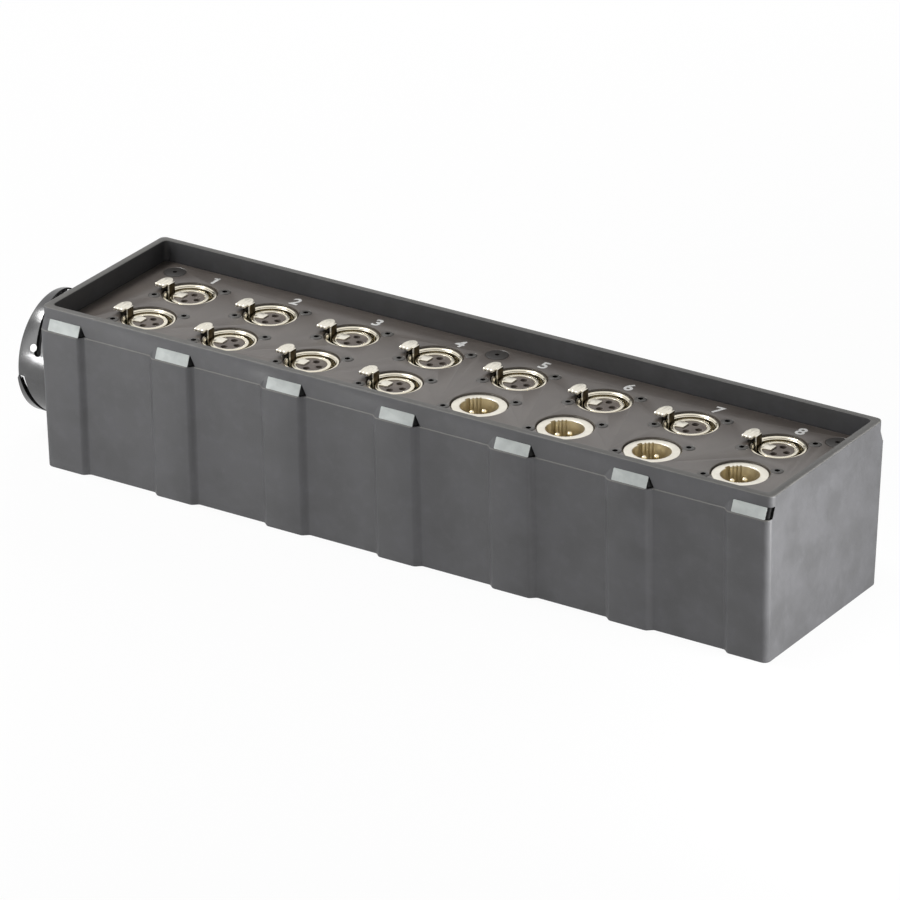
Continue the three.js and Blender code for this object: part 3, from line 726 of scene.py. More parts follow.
def in_slot(face):
    middle = face.calc_center_median()
    if not seam_height + SEAM_STEP < middle.z < label_top or abs(middle.y) < recess_width / 2:
        return False
    along = middle.x if middle.y < 0 else -middle.x
    from_rib = along - round(along / RIB_PITCH) * RIB_PITCH
    on_flank = RIB_HALF_WIDTH < from_rib < RIB_HALF_WIDTH + RIB_FLANK and along < END_SLOT[0]
    return on_flank or END_SLOT[0] < along < END_SLOT[1]


softened(tub, RIM_INNER_EDGE, 3, 60, on_inner_rim)
slots = [face for face in tub.faces if in_slot(face)]
walls = bmesh.ops.inset_region(tub, faces=slots, thickness=SLOT_WALL, depth=-SLOT_DEPTH, use_boundary=True,
                               use_even_offset=True)["faces"]
# The slots' faces take the near-black rubber, a painted shade for the shadow in them.
for face in slots + walls:
    face.material_index = 1
# The upward faces of the seam and of the rim's round take the paler rubber, a painted light for the light
# that falls on tops.
for face in tub.faces:
    height = face.calc_center_median().z
    on_seam = seam_height < height < seam_height + SEAM_STEP
    if face.normal.z > RIM_TOP_SLOPE and (on_seam or height > RIM_HEIGHT - RIM_EDGE):
        face.material_index = 2
make_piece("housing_tub", tub, [TUB_RUBBER, PAINTED_RECESS_SHADE, PAINTED_TOP_LIGHT_RUBBER],
           replaces=["rubber_housing"], crease=24)
print("slot faces:", len(slots), "and", len(walls))

# %% [markdown]
# ## Bosses for the panel's screws
# Six bosses stand inside the tub, under the ledge, and the panel's screws go down into them. Nobody sees
# them on the closed box, but the screws would hang in the air without them. Each is a tube with a floor,
# spun from its profile.

# %% Spin the bosses
BOSS_WALL = 0.0024
BOSS_HEIGHT = 0.02
BOSS_EDGE = 0.0004
BOSS_SEGMENTS = 32
SHANK_RADIUS = 0.0025
SCREW_HOLE_GAP = 0.0003
screw_names = [f"panel_screw_{number}" for number in range(1, 7)]
screw_places = [sum(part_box(name), Vector()) / 2 for name in screw_names]

boss_bore = SHANK_RADIUS + SCREW_HOLE_GAP
boss_radius = SHANK_RADIUS + BOSS_WALL
boss_foot = ledge_top - BOSS_HEIGHT
boss = spun([(0, boss_foot), (boss_radius, boss_foot), (boss_radius, ledge_top), (boss_bore, ledge_top),
             (boss_bore, boss_foot + BOSS_WALL), (0, boss_foot + BOSS_WALL)], BOSS_SEGMENTS, closed=False)
softened(boss, BOSS_EDGE)
bosses = joined(*(moved(boss, place.x, place.y, 0) for place in screw_places))
boss.free()
make_piece("screw_bosses", bosses, [TUB_RUBBER])
print("bosses at", [(round(place.x, 3), round(place.y, 3)) for place in screw_places])

# %% [markdown]
# ## Labels
# A pale strip lies on each slope, for a channel's name. It starts as four corners on the slope, its
# corners are rounded, and it is pushed out along the slope's own normal by the thickness of the film. The
# two end labels are trimmed a little at the corners of the box. The rear labels are the front ones turned
# half way round the box.

# %% Lay the labels on their slopes
LABEL_MARGIN = 0.0001
LABEL_LEFT = -0.0071
LABEL_RIGHT = RIB_HALF_WIDTH + LABEL_WIDENING - 0.0001
END_LABEL_TRIM = 0.0008
LABEL_THICKNESS = 0.00022
LABEL_CORNER = 0.0004
LABEL_EDGE = 0.00006


def label_strip(middle, left_trim, right_trim):
    low = Vector((0, -facet_low["side"] - facet_low["stand"], facet_low["height"]))
    high = Vector((0, -facet_high["side"], facet_high["height"]))
    rise = (high - low).normalized()
    out = Vector((1, 0, 0)).cross(rise)
    low, high = low + rise * LABEL_MARGIN, high - rise * LABEL_MARGIN
    left, right_side = Vector((LABEL_LEFT + left_trim, 0, 0)), Vector((LABEL_RIGHT - right_trim, 0, 0))
    corners = [low + left, low + right_side, high + right_side, high + left]
    strip = slab(corners, out * LABEL_THICKNESS, LABEL_CORNER, 4)
    return shifted(softened(strip, LABEL_EDGE, 2, 60), middle, 0, 0)


for number in range(-RIBS_EACH_WAY, RIBS_EACH_WAY + 1):
    for side, half_turns in (("front", 0), ("rear", 1)):
        trims = [END_LABEL_TRIM * (number == end) for end in (-RIBS_EACH_WAY, RIBS_EACH_WAY)]
        strip = label_strip(number * RIB_PITCH, *trims)
        turned(strip, half_turns * math.pi)
        make_piece(f"label_{side}_{number + RIBS_EACH_WAY + 1}", strip, [LABEL_FILM])
print("labels made:", sum(piece.name.startswith("label_") for piece in made_pieces))

# %% [markdown]
# ## Where the sockets are
# The sockets' places come from the frame: each packed shell's box is centred on its socket along Y, and
# the panel's grid gives X. The ring plane is the top of the shells, a little below the panel's face.

# %% Read the sockets' places
SOCKET_PITCH = 0.042
COLUMNS = 8

ring_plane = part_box("female_shell_rear_1")[1].z
shells = [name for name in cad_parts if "_shell_" in name and not name.startswith("multipin")]
sockets = []
for shell in sorted(shells):
    low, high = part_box(shell)
    row, number = shell.split("_")[-2:]
    x = (int(number) - (COLUMNS + 1) / 2) * SOCKET_PITCH
    y = (low.y + high.y) / 2
    sockets.append({"name": f"{row}_{number}", "x": x, "y": y, "at": (x, y, ring_plane),
                    "female": shell.startswith("female")})
females = [socket for socket in sockets if socket["female"]]
males = [socket for socket in sockets if not socket["female"]]
print("sockets:", len(females), "female and", len(males), "male, ring plane at", round(ring_plane, 4))

# %% [markdown]
# ## The panel
# The panel is a flat plate with a round hole for each socket, a notch beside it for a latch, two small
# screw holes for each socket and six sunk holes for its own screws. All the cutters are joined and cut at
# once. The edges of the holes are then broken a little, as a deburring tool would do.

# %% Cut the panel
PANEL_CORNER = 0.0021
HOLE_GAP = 0.0006
FEMALE_RING_RADIUS = 0.0118
MALE_RING_RADIUS = 0.01195
FIXING_PLACES = ((0.012, 0.0095), (-0.012, -0.0095))
SMALL_HEAD_RADIUS = 0.0027
SMALL_SHANK_RADIUS = 0.0014
SMALL_HEAD_DEPTH = 0.0013
SMALL_SCREW_GAP = 0.00015
NOTCH_REACH = 0.0132
NOTCH_HALF_WIDTH = 0.0029
PANEL_HEAD_RADIUS = 0.005
PANEL_HEAD_DEPTH = 0.0019
PANEL_BREAK = 0.00012
SINK_DEPTH = 0.02
SINK_SEGMENTS = 32
PANEL_HOLE_SEGMENTS = 72

panel_top = panel_high.z


def sunk_cutter(head_radius, head_depth, shank_radius):
    """A cutter for a countersunk hole, in the frame of the hole's mouth."""
    slope = (head_radius - shank_radius) / head_depth
    return spun([(0, -SINK_DEPTH), (shank_radius, -SINK_DEPTH), (shank_radius, -head_depth), (head_radius, 0),
                 (head_radius + slope * OVERRUN, OVERRUN), (0, OVERRUN)], SINK_SEGMENTS, closed=False)


def fixing_places(socket):
    """Where the two small screws of a socket are, on the panel's face."""
    return [(socket["x"] + dx, socket["y"] + dy, panel_top) for dx, dy in FIXING_PLACES]


small_hole_radius = SMALL_SHANK_RADIUS + SMALL_SCREW_GAP
small_sink = sunk_cutter(SMALL_HEAD_RADIUS + SMALL_SCREW_GAP, SMALL_HEAD_DEPTH, small_hole_radius)
large_sink = sunk_cutter(PANEL_HEAD_RADIUS + SEAT_GAP, PANEL_HEAD_DEPTH, SHANK_RADIUS + SCREW_HOLE_GAP)
panel_outline = rectangle(panel_high.x - panel_low.x, panel_high.y - panel_low.y)
panel = plate(panel_outline, panel_low.z, panel_top, PANEL_CORNER)
cutters = [moved(large_sink, place.x, place.y, panel_top) for place in screw_places]
for socket in sockets:
    radius = (FEMALE_RING_RADIUS if socket["female"] else MALE_RING_RADIUS) + HOLE_GAP
    hole = turned_rod(radius, panel_low.z - OVERRUN, panel_top + OVERRUN, PANEL_HOLE_SEGMENTS)
    if socket["female"]:
        mouth = rectangle(NOTCH_REACH, 2 * NOTCH_HALF_WIDTH, -NOTCH_REACH / 2)
        hole = carved(hole, plate(mouth, panel_low.z - OVERRUN, panel_top + OVERRUN), "UNION")
    cutters.append(moved(hole, socket["x"], socket["y"], 0))
    cutters += [moved(small_sink, *place) for place in fixing_places(socket)]
panel = carved(panel, joined(*cutters))
softened(panel, PANEL_BREAK, 2, 35, lies_above(panel_top))
make_piece("panel_plate", panel, [PANEL_COAT], replaces=["connector_panel"])
print("panel:", len(made_pieces[-1].data.polygons), "faces")

# %% [markdown]
# ## Screws
# The panel's screws are countersunk, with a small hexagon socket in the middle. The sockets' own screws
# are smaller and slightly domed. Each kind is spun from its profile, the drive is cut out, and copies go
# to every hole. No light reaches into the small drives, so their faces get the blackest finish.

# %% Make the screws
SMALL_DOME_RISE = 0.00035
PANEL_DOME_RISE = 0.00015
DOME_STEPS = 5
HEX_RADIUS = 0.0011
HEX_DEPTH = 0.0014
SMALL_HEX_RADIUS = 0.00125
SMALL_HEX_DEPTH = 0.0013
PANEL_SCREW_LENGTH = 0.0159
SMALL_SCREW_LENGTH = 0.008


def screw_blank(head_radius, head_depth, shank_radius, length, dome, segments):
    """A countersunk screw with a slightly domed head, its rim at height 0."""
    turns = [step / DOME_STEPS * math.pi / 2 for step in range(DOME_STEPS)]
    arc = [(head_radius * math.cos(turn), dome * math.sin(turn)) for turn in turns]
    profile = [(0, -length), (shank_radius, -length), (shank_radius, -head_depth)] + arc + [(0, dome)]
    return spun(profile, segments, closed=False)


panel_blank = screw_blank(PANEL_HEAD_RADIUS, PANEL_HEAD_DEPTH, SHANK_RADIUS, PANEL_SCREW_LENGTH,
                          PANEL_DOME_RISE, 48)
panel_screw = carved(panel_blank, turned_rod(HEX_RADIUS, -HEX_DEPTH, OVERRUN, 6))
for name, place in zip(screw_names, screw_places):
    make_piece(f"{name}_head", moved(panel_screw, place.x, place.y, panel_top), [SCREW_DARK],
               replaces=[name])

small_blank = screw_blank(SMALL_HEAD_RADIUS, SMALL_HEAD_DEPTH, SMALL_SHANK_RADIUS, SMALL_SCREW_LENGTH,
                          SMALL_DOME_RISE, 24)
small_screw = carved(small_blank, turned_rod(SMALL_HEX_RADIUS, -SMALL_HEX_DEPTH, OVERRUN, 6))
# The drive's faces take the near-black rubber, a painted shade.
for face in small_screw.faces:
    middle = face.calc_center_median()
    in_drive = middle.xy.length < SMALL_HEX_RADIUS and middle.z > -SMALL_HEX_DEPTH - MERGE_DISTANCE
    face.material_index = int(in_drive)
for socket in sockets:
    pair = [moved(small_screw, *place) for place in fixing_places(socket)]
    make_piece(f"fixing_screws_{socket['name']}", joined(*pair), [SCREW_GREY, PAINTED_RECESS_SHADE])
print("screws made:", len(screw_names) + 2 * len(sockets))

# %% [markdown]
# ## Channel numbers
# The numbers 1 to 8 are printed on the panel behind the rear row. Each is a text curve, made a little
# bolder with an offset, turned into a mesh, and only then moved to its place. The 1 gets the slanted flag
# that the type leaves out. The last two numbers are a little off their grid.

# %% Print the numbers
DIGIT_HEIGHT = 0.0088
DIGIT_BOLDNESS = 0.00022
DIGIT_THICKNESS = 0.00004
DIGIT_OFFSET = (0.0018, 0.0145)
DIGIT_NUDGES = {"7": 0.001, "8": -0.001}
FLAG_SIZE = (0.0024, 0.0009)
FLAG_PLACE = (-0.0008, 0.0054)
FLAG_TURN = math.radians(40)

for socket in sockets:
    row, number = socket["name"].split("_")
    if row == "rear":
        text = bpy.data.curves.new("digit", "FONT")
        text.body = number
        text.size = DIGIT_HEIGHT
        text.offset = DIGIT_BOLDNESS
        text.extrude = DIGIT_THICKNESS
        text.align_x = "CENTER"
        holder = bpy.data.objects.new("digit", text)
        bpy.context.scene.collection.objects.link(holder)
        printed = holder.evaluated_get(bpy.context.evaluated_depsgraph_get())
        digit = bmesh.new()
        digit.from_mesh(printed.to_mesh())
        printed.to_mesh_clear()
        bpy.data.objects.remove(holder)
        bpy.data.curves.remove(text)
        x, y = socket["x"] + DIGIT_OFFSET[0] + DIGIT_NUDGES.get(number, 0.0), socket["y"] + DIGIT_OFFSET[1]
        if number == "1":
            flag = turned(plate(rectangle(*FLAG_SIZE), 0, DIGIT_THICKNESS), FLAG_TURN)
            digit = joined(digit, shifted(flag, *FLAG_PLACE, 0))
        make_piece(f"number_{number}", tidied(shifted(digit, x, y, panel_top)), [PRINT_WHITE])
print("numbers made:", sum(piece.name.startswith("number_") for piece in made_pieces))

# %% [markdown]
# ## A female socket's shell
# The shell is one casting: a tube whose top is the bright ring, a flange that is screwed up against the
# back of the panel, and a box on the left that holds the latch. A slot is cut down through the ring and
# the box. It is made once in the socket's own frame, with its ring at height 0, and copied to all twelve
# places.

# %% Cast the female shell
FEMALE_BORE = 0.00975
FEMALE_MOUTH = 0.0104
FEMALE_MOUTH_DEPTH = 0.006
LEAD_IN = 0.0006
GROOVE = 0.00025
FEMALE_DEPTH = 0.0175
RING_SEGMENTS = 72
RING_ROUND = 0.00025
FLANGE_LENGTH = 0.031
FLANGE_WIDTH = 0.026
FLANGE_CORNER = 0.0026
FLANGE_TOP = panel_low.z - SEAT_GAP - ring_plane
FLANGE_THICKNESS = 0.0022
LATCH_SLOT_HALF = 0.0026
LATCH_SLOT_REACH = 0.0129
LATCH_SLOT_FLOOR = -0.0114
LATCH_BOX_WALL = 0.0016
LATCH_EAR = 0.002
SCREW_HOLE_SEGMENTS = 24


def socket_flange(hole_radius):
    """The flange behind the panel, with its hole and its two screw holes."""
    top, bottom = FLANGE_TOP, FLANGE_TOP - FLANGE_THICKNESS
    flange = plate(rectangle(FLANGE_LENGTH, FLANGE_WIDTH), bottom, top, FLANGE_CORNER)
    holes = [turned_rod(hole_radius, bottom - OVERRUN, top + OVERRUN, RING_SEGMENTS)]
    screw_hole = turned_rod(small_hole_radius, bottom - OVERRUN, top + OVERRUN, SCREW_HOLE_SEGMENTS)
    holes += [moved(screw_hole, x, y, 0) for x, y in FIXING_PLACES]
    return carved(flange, joined(*holes))


def latch_box(reach, half_width_y, low, high, inner):
    """A block from the ring out to the left, between two heights."""
    return plate(rectangle(reach - inner, 2 * half_width_y, -(reach + inner) / 2), low, high)


def female_shell():
    tube = spun([(FEMALE_RING_RADIUS, -FEMALE_DEPTH), (FEMALE_RING_RADIUS, 0), (FEMALE_MOUTH + LEAD_IN, 0),
                 (FEMALE_MOUTH, -LEAD_IN), (FEMALE_MOUTH + GROOVE, -LEAD_IN - GROOVE / 2),
                 (FEMALE_MOUTH + GROOVE, -LEAD_IN - GROOVE), (FEMALE_MOUTH, -LEAD_IN - 2 * GROOVE),
                 (FEMALE_MOUTH, -FEMALE_MOUTH_DEPTH), (FEMALE_BORE, -FEMALE_MOUTH_DEPTH),
                 (FEMALE_BORE, -FEMALE_DEPTH)], RING_SEGMENTS)
    softened(tube, RING_ROUND, 3, 80)
    body = carved(tube, socket_flange((FEMALE_BORE + FEMALE_RING_RADIUS) / 2), "UNION")
    middle = (FEMALE_BORE + FEMALE_RING_RADIUS) / 2
    box = latch_box(LATCH_SLOT_REACH + LATCH_BOX_WALL, LATCH_SLOT_HALF + LATCH_EAR,
                    LATCH_SLOT_FLOOR - LATCH_BOX_WALL, FLANGE_TOP, middle)
    body = carved(body, box, "UNION")
    slot = latch_box(LATCH_SLOT_REACH, LATCH_SLOT_HALF, LATCH_SLOT_FLOOR, OVERRUN, FEMALE_BORE - OVERRUN)
    return carved(body, slot)


female_body = female_shell()
for socket in females:
    make_piece(f"socket_shell_{socket['name']}", moved(female_body, *socket["at"]), [NICKEL],
               replaces=[f"female_shell_{socket['name']}"])
print("a female shell has", len(female_body.faces), "faces")

# %% [markdown]
# ## A female socket's core
# Inside the ring stands a nickel sleeve round a dark insulator with three contact holes. A springy tongue
# of bright metal lies across the insulator on the latch's side, and earths the plug's shell. Each hole
# holds a small contact tube, set back a little, whose rim gives the tiny glint in the dark. The gap
# between the ring and the sleeve is left open: the plug's shell goes there.

# %% Build the core
SLEEVE_RADIUS = 0.0084
SLEEVE_BORE = 0.0067
SLEEVE_DROP = 0.0010
SLEEVE_ROUND = 0.0003
COLLAR_HEIGHT = 0.0052
FACE_DROP = 0.0015
CONTACT_HOLE_RADIUS = 0.0015
CONTACT_HOLE_DEPTH = 0.007
CONTACT_CIRCLE = 0.0039
CONTACT_TUBE_RADIUS = 0.0012
CONTACT_TUBE_BORE = 0.0007
CONTACT_DROP = 0.0016
TONGUE_OUTLINE = ((-0.0068, -0.0029), (-0.0023, -0.0023), (-0.0023, 0.0023), (-0.0068, 0.0029))
TONGUE_TOP = -0.0008
TONGUE_THICKNESS = 0.0007
TONGUE_CORNER = 0.0004
TONGUE_EDGE = 0.00015
HOLE_EDGE = 0.0001
CONTACT_TUBE_LENGTH = 0.005
contact_places = [(CONTACT_CIRCLE * math.cos(turn), CONTACT_CIRCLE * math.sin(turn))
                  for turn in (-math.pi / 2, 0, math.pi / 2)]

collar = FEMALE_BORE - SEAT_GAP
sleeve = spun([(collar, -FEMALE_DEPTH), (collar, COLLAR_HEIGHT - FEMALE_DEPTH),
               (SLEEVE_RADIUS, COLLAR_HEIGHT - FEMALE_DEPTH), (SLEEVE_RADIUS, -SLEEVE_DROP),
               (SLEEVE_BORE, -SLEEVE_DROP), (SLEEVE_BORE, -FEMALE_DEPTH)], RING_SEGMENTS)
softened(sleeve, SLEEVE_ROUND, 3)
face = turned_rod(SLEEVE_BORE, -FEMALE_DEPTH, -FACE_DROP, RING_SEGMENTS)
contact_hole = turned_rod(CONTACT_HOLE_RADIUS, -FACE_DROP - CONTACT_HOLE_DEPTH, OVERRUN, 24)
face = carved(face, joined(*(moved(contact_hole, x, y, 0) for x, y in contact_places)))
softened(face, HOLE_EDGE, 2, 60, lies_above(-FACE_DROP))
tongue = plate(TONGUE_OUTLINE, TONGUE_TOP - TONGUE_THICKNESS, TONGUE_TOP, TONGUE_CORNER, 4)
softened(tongue, TONGUE_EDGE, 2, 60)
contact_top = -FACE_DROP - CONTACT_DROP
contact_foot = contact_top - CONTACT_TUBE_LENGTH
contact = spun([(CONTACT_TUBE_RADIUS, contact_foot), (CONTACT_TUBE_RADIUS, contact_top),
                (CONTACT_TUBE_BORE, contact_top), (CONTACT_TUBE_BORE, contact_foot)], 20)
softened(contact, TONGUE_EDGE, 2)
contacts = joined(*(moved(contact, x, y, 0) for x, y in contact_places))
for socket in females:
    name, at = socket["name"], socket["at"]
    make_piece(f"socket_face_{name}", moved(face, *at), [INSULATOR],
               replaces=[f"female_insert_{name}"])
    make_piece(f"socket_sleeve_{name}", moved(sleeve, *at), [NICKEL])
    make_piece(f"earth_tongue_{name}", moved(tongue, *at), [SATIN_NICKEL])
    make_piece(f"contact_tubes_{name}", moved(contacts, *at), [CONTACT_METAL])
print("cores made:", len(females))

# %% [markdown]
# ## Latches
# Each female socket holds its plug with a sprung latch. A flat stem stands in the slot of the ring, on a
# pivot pin down in the shell, and it carries a thumb tab that is pushed outwards to let the plug go. The
# tab is a rounded plate with three ridges for grip, whose round ends show along its near edge. The whole
# latch rides on its own body, so it tilts with the joint.

# %% Press the latches
LATCH_HALF_WIDTH = 0.0022
LATCH_INNER = -0.0091
LATCH_THICKNESS = 0.0009
LATCH_FOOT = -0.0110
TAB_LOW = 0.0024
TAB_THICKNESS = 0.0012
TAB_X = (-0.0159, -0.0098)
TAB_Y = (-0.0045, 0.0048)
TAB_SEGMENTS = 40
TAB_EDGE = 0.00045
STEM_SINK = 0.0002
STEM_EDGE = 0.00018
STEM_FACING = 0.5
RIDGE_RADIUS = 0.00085
RIDGE_PITCH = 0.0018
RIDGE_COUNT = 3
RIDGE_SINK = 0.00055
RIDGE_Y = (-0.0046, 0.0024)
RIDGE_END = 0.0006
PIN_RADIUS = 0.0011
PIN_DROP = 0.0095
PIN_LENGTH = 0.0076
PIN_EDGE = 0.0002
CATCH_DROP = 0.004
CATCH_HALF_HEIGHT = 0.0006
CATCH_THICKNESS = 0.001
CATCH_PROUD = 0.0001
CATCH_EDGE = 0.0002

tab_middle = ((TAB_X[0] + TAB_X[1]) / 2, (TAB_Y[0] + TAB_Y[1]) / 2)


def lying_rod(radius, low_y, high_y, x, z, segments, end_round):
    """A rod along Y with rounded ends."""
    rod = softened(turned_rod(radius, low_y, high_y, segments), end_round, 3)
    return shifted(turned(rod, -math.pi / 2, "X"), x, 0, z)


def latch():
    stem_middle = LATCH_INNER - LATCH_THICKNESS / 2
    stem = plate(rectangle(LATCH_THICKNESS, 2 * LATCH_HALF_WIDTH, stem_middle), LATCH_FOOT,
                 TAB_LOW + TAB_THICKNESS - STEM_SINK)
    softened(stem, STEM_EDGE, 2)
    # Faces towards the socket's middle take the dark second finish, a painted shade.
    for face in stem.faces:
        face.material_index = int(face.normal.x > STEM_FACING)
    tab_length, tab_width = TAB_X[1] - TAB_X[0], TAB_Y[1] - TAB_Y[0]
    tab = turned_rod(tab_length / 2, TAB_LOW, TAB_LOW + TAB_THICKNESS, TAB_SEGMENTS)
    bmesh.ops.scale(tab, verts=tab.verts, vec=(1, tab_width / tab_length, 1))
    softened(shifted(tab, *tab_middle, 0), TAB_EDGE, 4, 60)
    ridge_z = TAB_LOW + TAB_THICKNESS - RIDGE_SINK
    ridges = [lying_rod(RIDGE_RADIUS, *RIDGE_Y, tab_middle[0] + (i - 1) * RIDGE_PITCH, ridge_z, 16, RIDGE_END)
              for i in range(RIDGE_COUNT)]
    pin = lying_rod(PIN_RADIUS, -PIN_LENGTH / 2, PIN_LENGTH / 2, stem_middle, -PIN_DROP, 20, PIN_EDGE)
    catch = plate(rectangle(CATCH_THICKNESS, LATCH_HALF_WIDTH, LATCH_INNER + CATCH_PROUD),
                  -CATCH_DROP - CATCH_HALF_HEIGHT, -CATCH_DROP + CATCH_HALF_HEIGHT)
    return joined(stem, tab, *ridges, pin, softened(catch, CATCH_EDGE, 2))


latch_body = latch()
for socket in females:
    name = f"latch_{socket['name']}"
    make_piece(f"thumb_{name}", moved(latch_body, *socket["at"]), [SATIN_NICKEL, STEM_PAINTED_SHADE],
               body=name, replaces=[name], crease=35)
print("latches made:", len(females), "with", len(latch_body.faces), "faces each")

# %% [markdown]
# ## Male sockets
# Four sockets in the front row send signals back, and are male: a wide bright ring, a deep plated bore,
# and three pins standing in its floor. Grooves down the bore's left wall guide the plug, and break its
# reflections into upright stripes. The pins have round tips, so each is a profile with a quarter circle
# at its top.

# %% Build the male sockets
MALE_BORE = 0.00815
MALE_BARREL = 0.0098
MALE_DEPTH = 0.0155
MALE_FLOOR = -0.0105
MALE_CHAMFER = 0.0005
PIN_TIP_DROP = 0.003
MALE_PIN_RADIUS = 0.0012
MALE_PIN_CIRCLE = 0.00375
GROOVE_RADIUS = 0.0004
GROOVE_TURNS = [math.radians(turn) for turn in (118, 129, 140)]
KEY_TURN = math.radians(158)
KEY_SIZE = (0.0016, 0.0024)
TIP_STEPS = 6
BED_EDGE = 0.0003
PIN_ROOT = 0.002


def male_shell():
    flange_low = FLANGE_TOP - FLANGE_THICKNESS
    tube = spun([(MALE_BARREL, -MALE_DEPTH), (MALE_BARREL, flange_low), (MALE_RING_RADIUS, flange_low),
                 (MALE_RING_RADIUS, 0), (MALE_BORE, 0), (MALE_BORE, -MALE_DEPTH)], RING_SEGMENTS)
    softened(tube, MALE_CHAMFER, 3, 40, lambda edge: edge.verts[0].co.z > -MERGE_DISTANCE)
    body = carved(tube, socket_flange((MALE_BORE + MALE_RING_RADIUS) / 2), "UNION")
    groove = turned_rod(GROOVE_RADIUS, MALE_FLOOR, OVERRUN, 16)
    cuts = [moved(groove, MALE_BORE * math.cos(turn), MALE_BORE * math.sin(turn), 0) for turn in GROOVE_TURNS]
    key = turned(plate(rectangle(*KEY_SIZE, MALE_BORE), MALE_FLOOR, OVERRUN), KEY_TURN)
    body = carved(body, joined(*cuts, key))
    for face in body.faces:
        middle = face.calc_center_median()
        face.material_index = int(middle.xy.length < MALE_BORE + KEY_SIZE[0] and middle.z < -MALE_CHAMFER)
    return body


def round_pin(radius, low, tip, segments):
    """An upright pin with a ball end."""
    turns = [step / TIP_STEPS * math.pi / 2 for step in range(TIP_STEPS)]
    arc = [(radius * math.cos(turn), tip - radius * (1 - math.sin(turn))) for turn in turns]
    return spun([(0, low), (radius, low)] + arc + [(0, tip)], segments, closed=False)


male_body = male_shell()
bed = softened(turned_rod(MALE_BORE - SEAT_GAP, -MALE_DEPTH, MALE_FLOOR, RING_SEGMENTS), BED_EDGE, 2)
pin = round_pin(MALE_PIN_RADIUS, MALE_FLOOR - PIN_ROOT, -PIN_TIP_DROP, 24)
pins = joined(*(moved(pin, -MALE_PIN_CIRCLE * math.cos(turn), MALE_PIN_CIRCLE * math.sin(turn), 0)
                for turn in (-math.pi / 2, 0, math.pi / 2)))
for socket in males:
    name, at = socket["name"], socket["at"]
    make_piece(f"socket_shell_{name}", moved(male_body, *at), [SATIN_NICKEL, BORE_NICKEL],
               replaces=[f"male_shell_{name}"])
    make_piece(f"pin_bed_{name}", moved(bed, *at), [PIN_BED], replaces=[f"male_insert_{name}"])
    make_piece(f"pins_{name}", moved(pins, *at), [CONTACT_METAL])
print("male sockets made:", len(males))

# %% [markdown]
# ## The multipin socket's shell
# On the left end a black shell with a flange presses a gasket into a seat in the wall. Its bore holds a
# disc of insulator with 37 pins: one in the middle, and rings of 6, 12 and 18 around it. A key in the
# bore lets the plug in one way only. The pieces are spun about Z, and then laid on the end, so that their
# height becomes their reach.

# %% Build the shell, its gasket and its pins
SHELL_RADIUS = 0.022
SHELL_BORE = 0.0195
SHELL_TAIL_BORE = 0.0175
SHELL_STEP = 0.0043
SHELL_FLANGE = 0.003
INSERT_THICKNESS = 0.008
INSERT_TAIL = 0.006
CONTACT_RADIUS = 0.0008
CONTACT_LENGTH = 0.0084
CONTACT_SPACING = 0.005
CONTACT_RINGS = 3
CONTACTS_IN_FIRST_RING = 6
KEY_WIDTH = 0.003
KEY_HEIGHT = 0.0014
MULTIPIN_SEGMENTS = 96
MULTIPIN_EDGE = 0.0003
CONTACT_ROOT = 0.001

end_face = gasket_low.x
print("the shell reaches from", round(shell_low.x, 4), "to", round(shell_high.x, 4), "m")


def reach_of(x):
    """How far out from the end wall a place on X is."""
    return end_face - x


def ring_of(inner, outer, low, high):
    """A plain ring with rounded edges, laid on the end wall."""
    ring = spun([(outer, low), (outer, high), (inner, high), (inner, low)], MULTIPIN_SEGMENTS)
    return on_end(softened(ring, MULTIPIN_EDGE, 2), end_face)


def multipin_shell():
    flange_low = SEAT_GAP
    profile = [(SHELL_TAIL_RADIUS, reach_of(shell_high.x)), (SHELL_TAIL_RADIUS, flange_low),
               (GASKET_RADIUS, flange_low), (GASKET_RADIUS, flange_low + SHELL_FLANGE),
               (SHELL_RADIUS, flange_low + SHELL_FLANGE), (SHELL_RADIUS, reach_of(shell_low.x)),
               (SHELL_BORE, reach_of(shell_low.x)), (SHELL_BORE, SHELL_STEP - SEAT_GAP),
               (SHELL_TAIL_BORE, SHELL_STEP - SEAT_GAP), (SHELL_TAIL_BORE, reach_of(shell_high.x))]
    shell = softened(spun(profile, MULTIPIN_SEGMENTS), MULTIPIN_EDGE, 2, 60)
    key_low = SHELL_STEP + INSERT_THICKNESS + SEAT_GAP
    key_outline = rectangle(2 * KEY_HEIGHT, KEY_WIDTH, SHELL_BORE)
    key = plate(key_outline, key_low, reach_of(shell_low.x), MULTIPIN_EDGE, 3)
    return on_end(carved(shell, key, "UNION"), end_face)


def contact_spots():
    """One contact in the middle, and rings of six more each round it."""
    spots = [(0.0, 0.0)]
    for ring in range(1, CONTACT_RINGS + 1):
        count = ring * CONTACTS_IN_FIRST_RING
        radius = ring * CONTACT_SPACING
        turns = [(i + ring % 2 / 2) / count * 2 * math.pi for i in range(count)]
        spots += [(radius * math.cos(turn), radius * math.sin(turn)) for turn in turns]
    return spots


def multipin_insert():
    face_reach = SHELL_STEP + INSERT_THICKNESS
    tail, body = SHELL_TAIL_BORE - SEAT_GAP, SHELL_BORE - SEAT_GAP
    profile = [(0, SHELL_STEP - INSERT_TAIL), (tail, SHELL_STEP - INSERT_TAIL), (tail, SHELL_STEP),
               (body, SHELL_STEP), (body, face_reach), (0, face_reach)]
    return softened(spun(profile, MULTIPIN_SEGMENTS, closed=False), MULTIPIN_EDGE, 2)


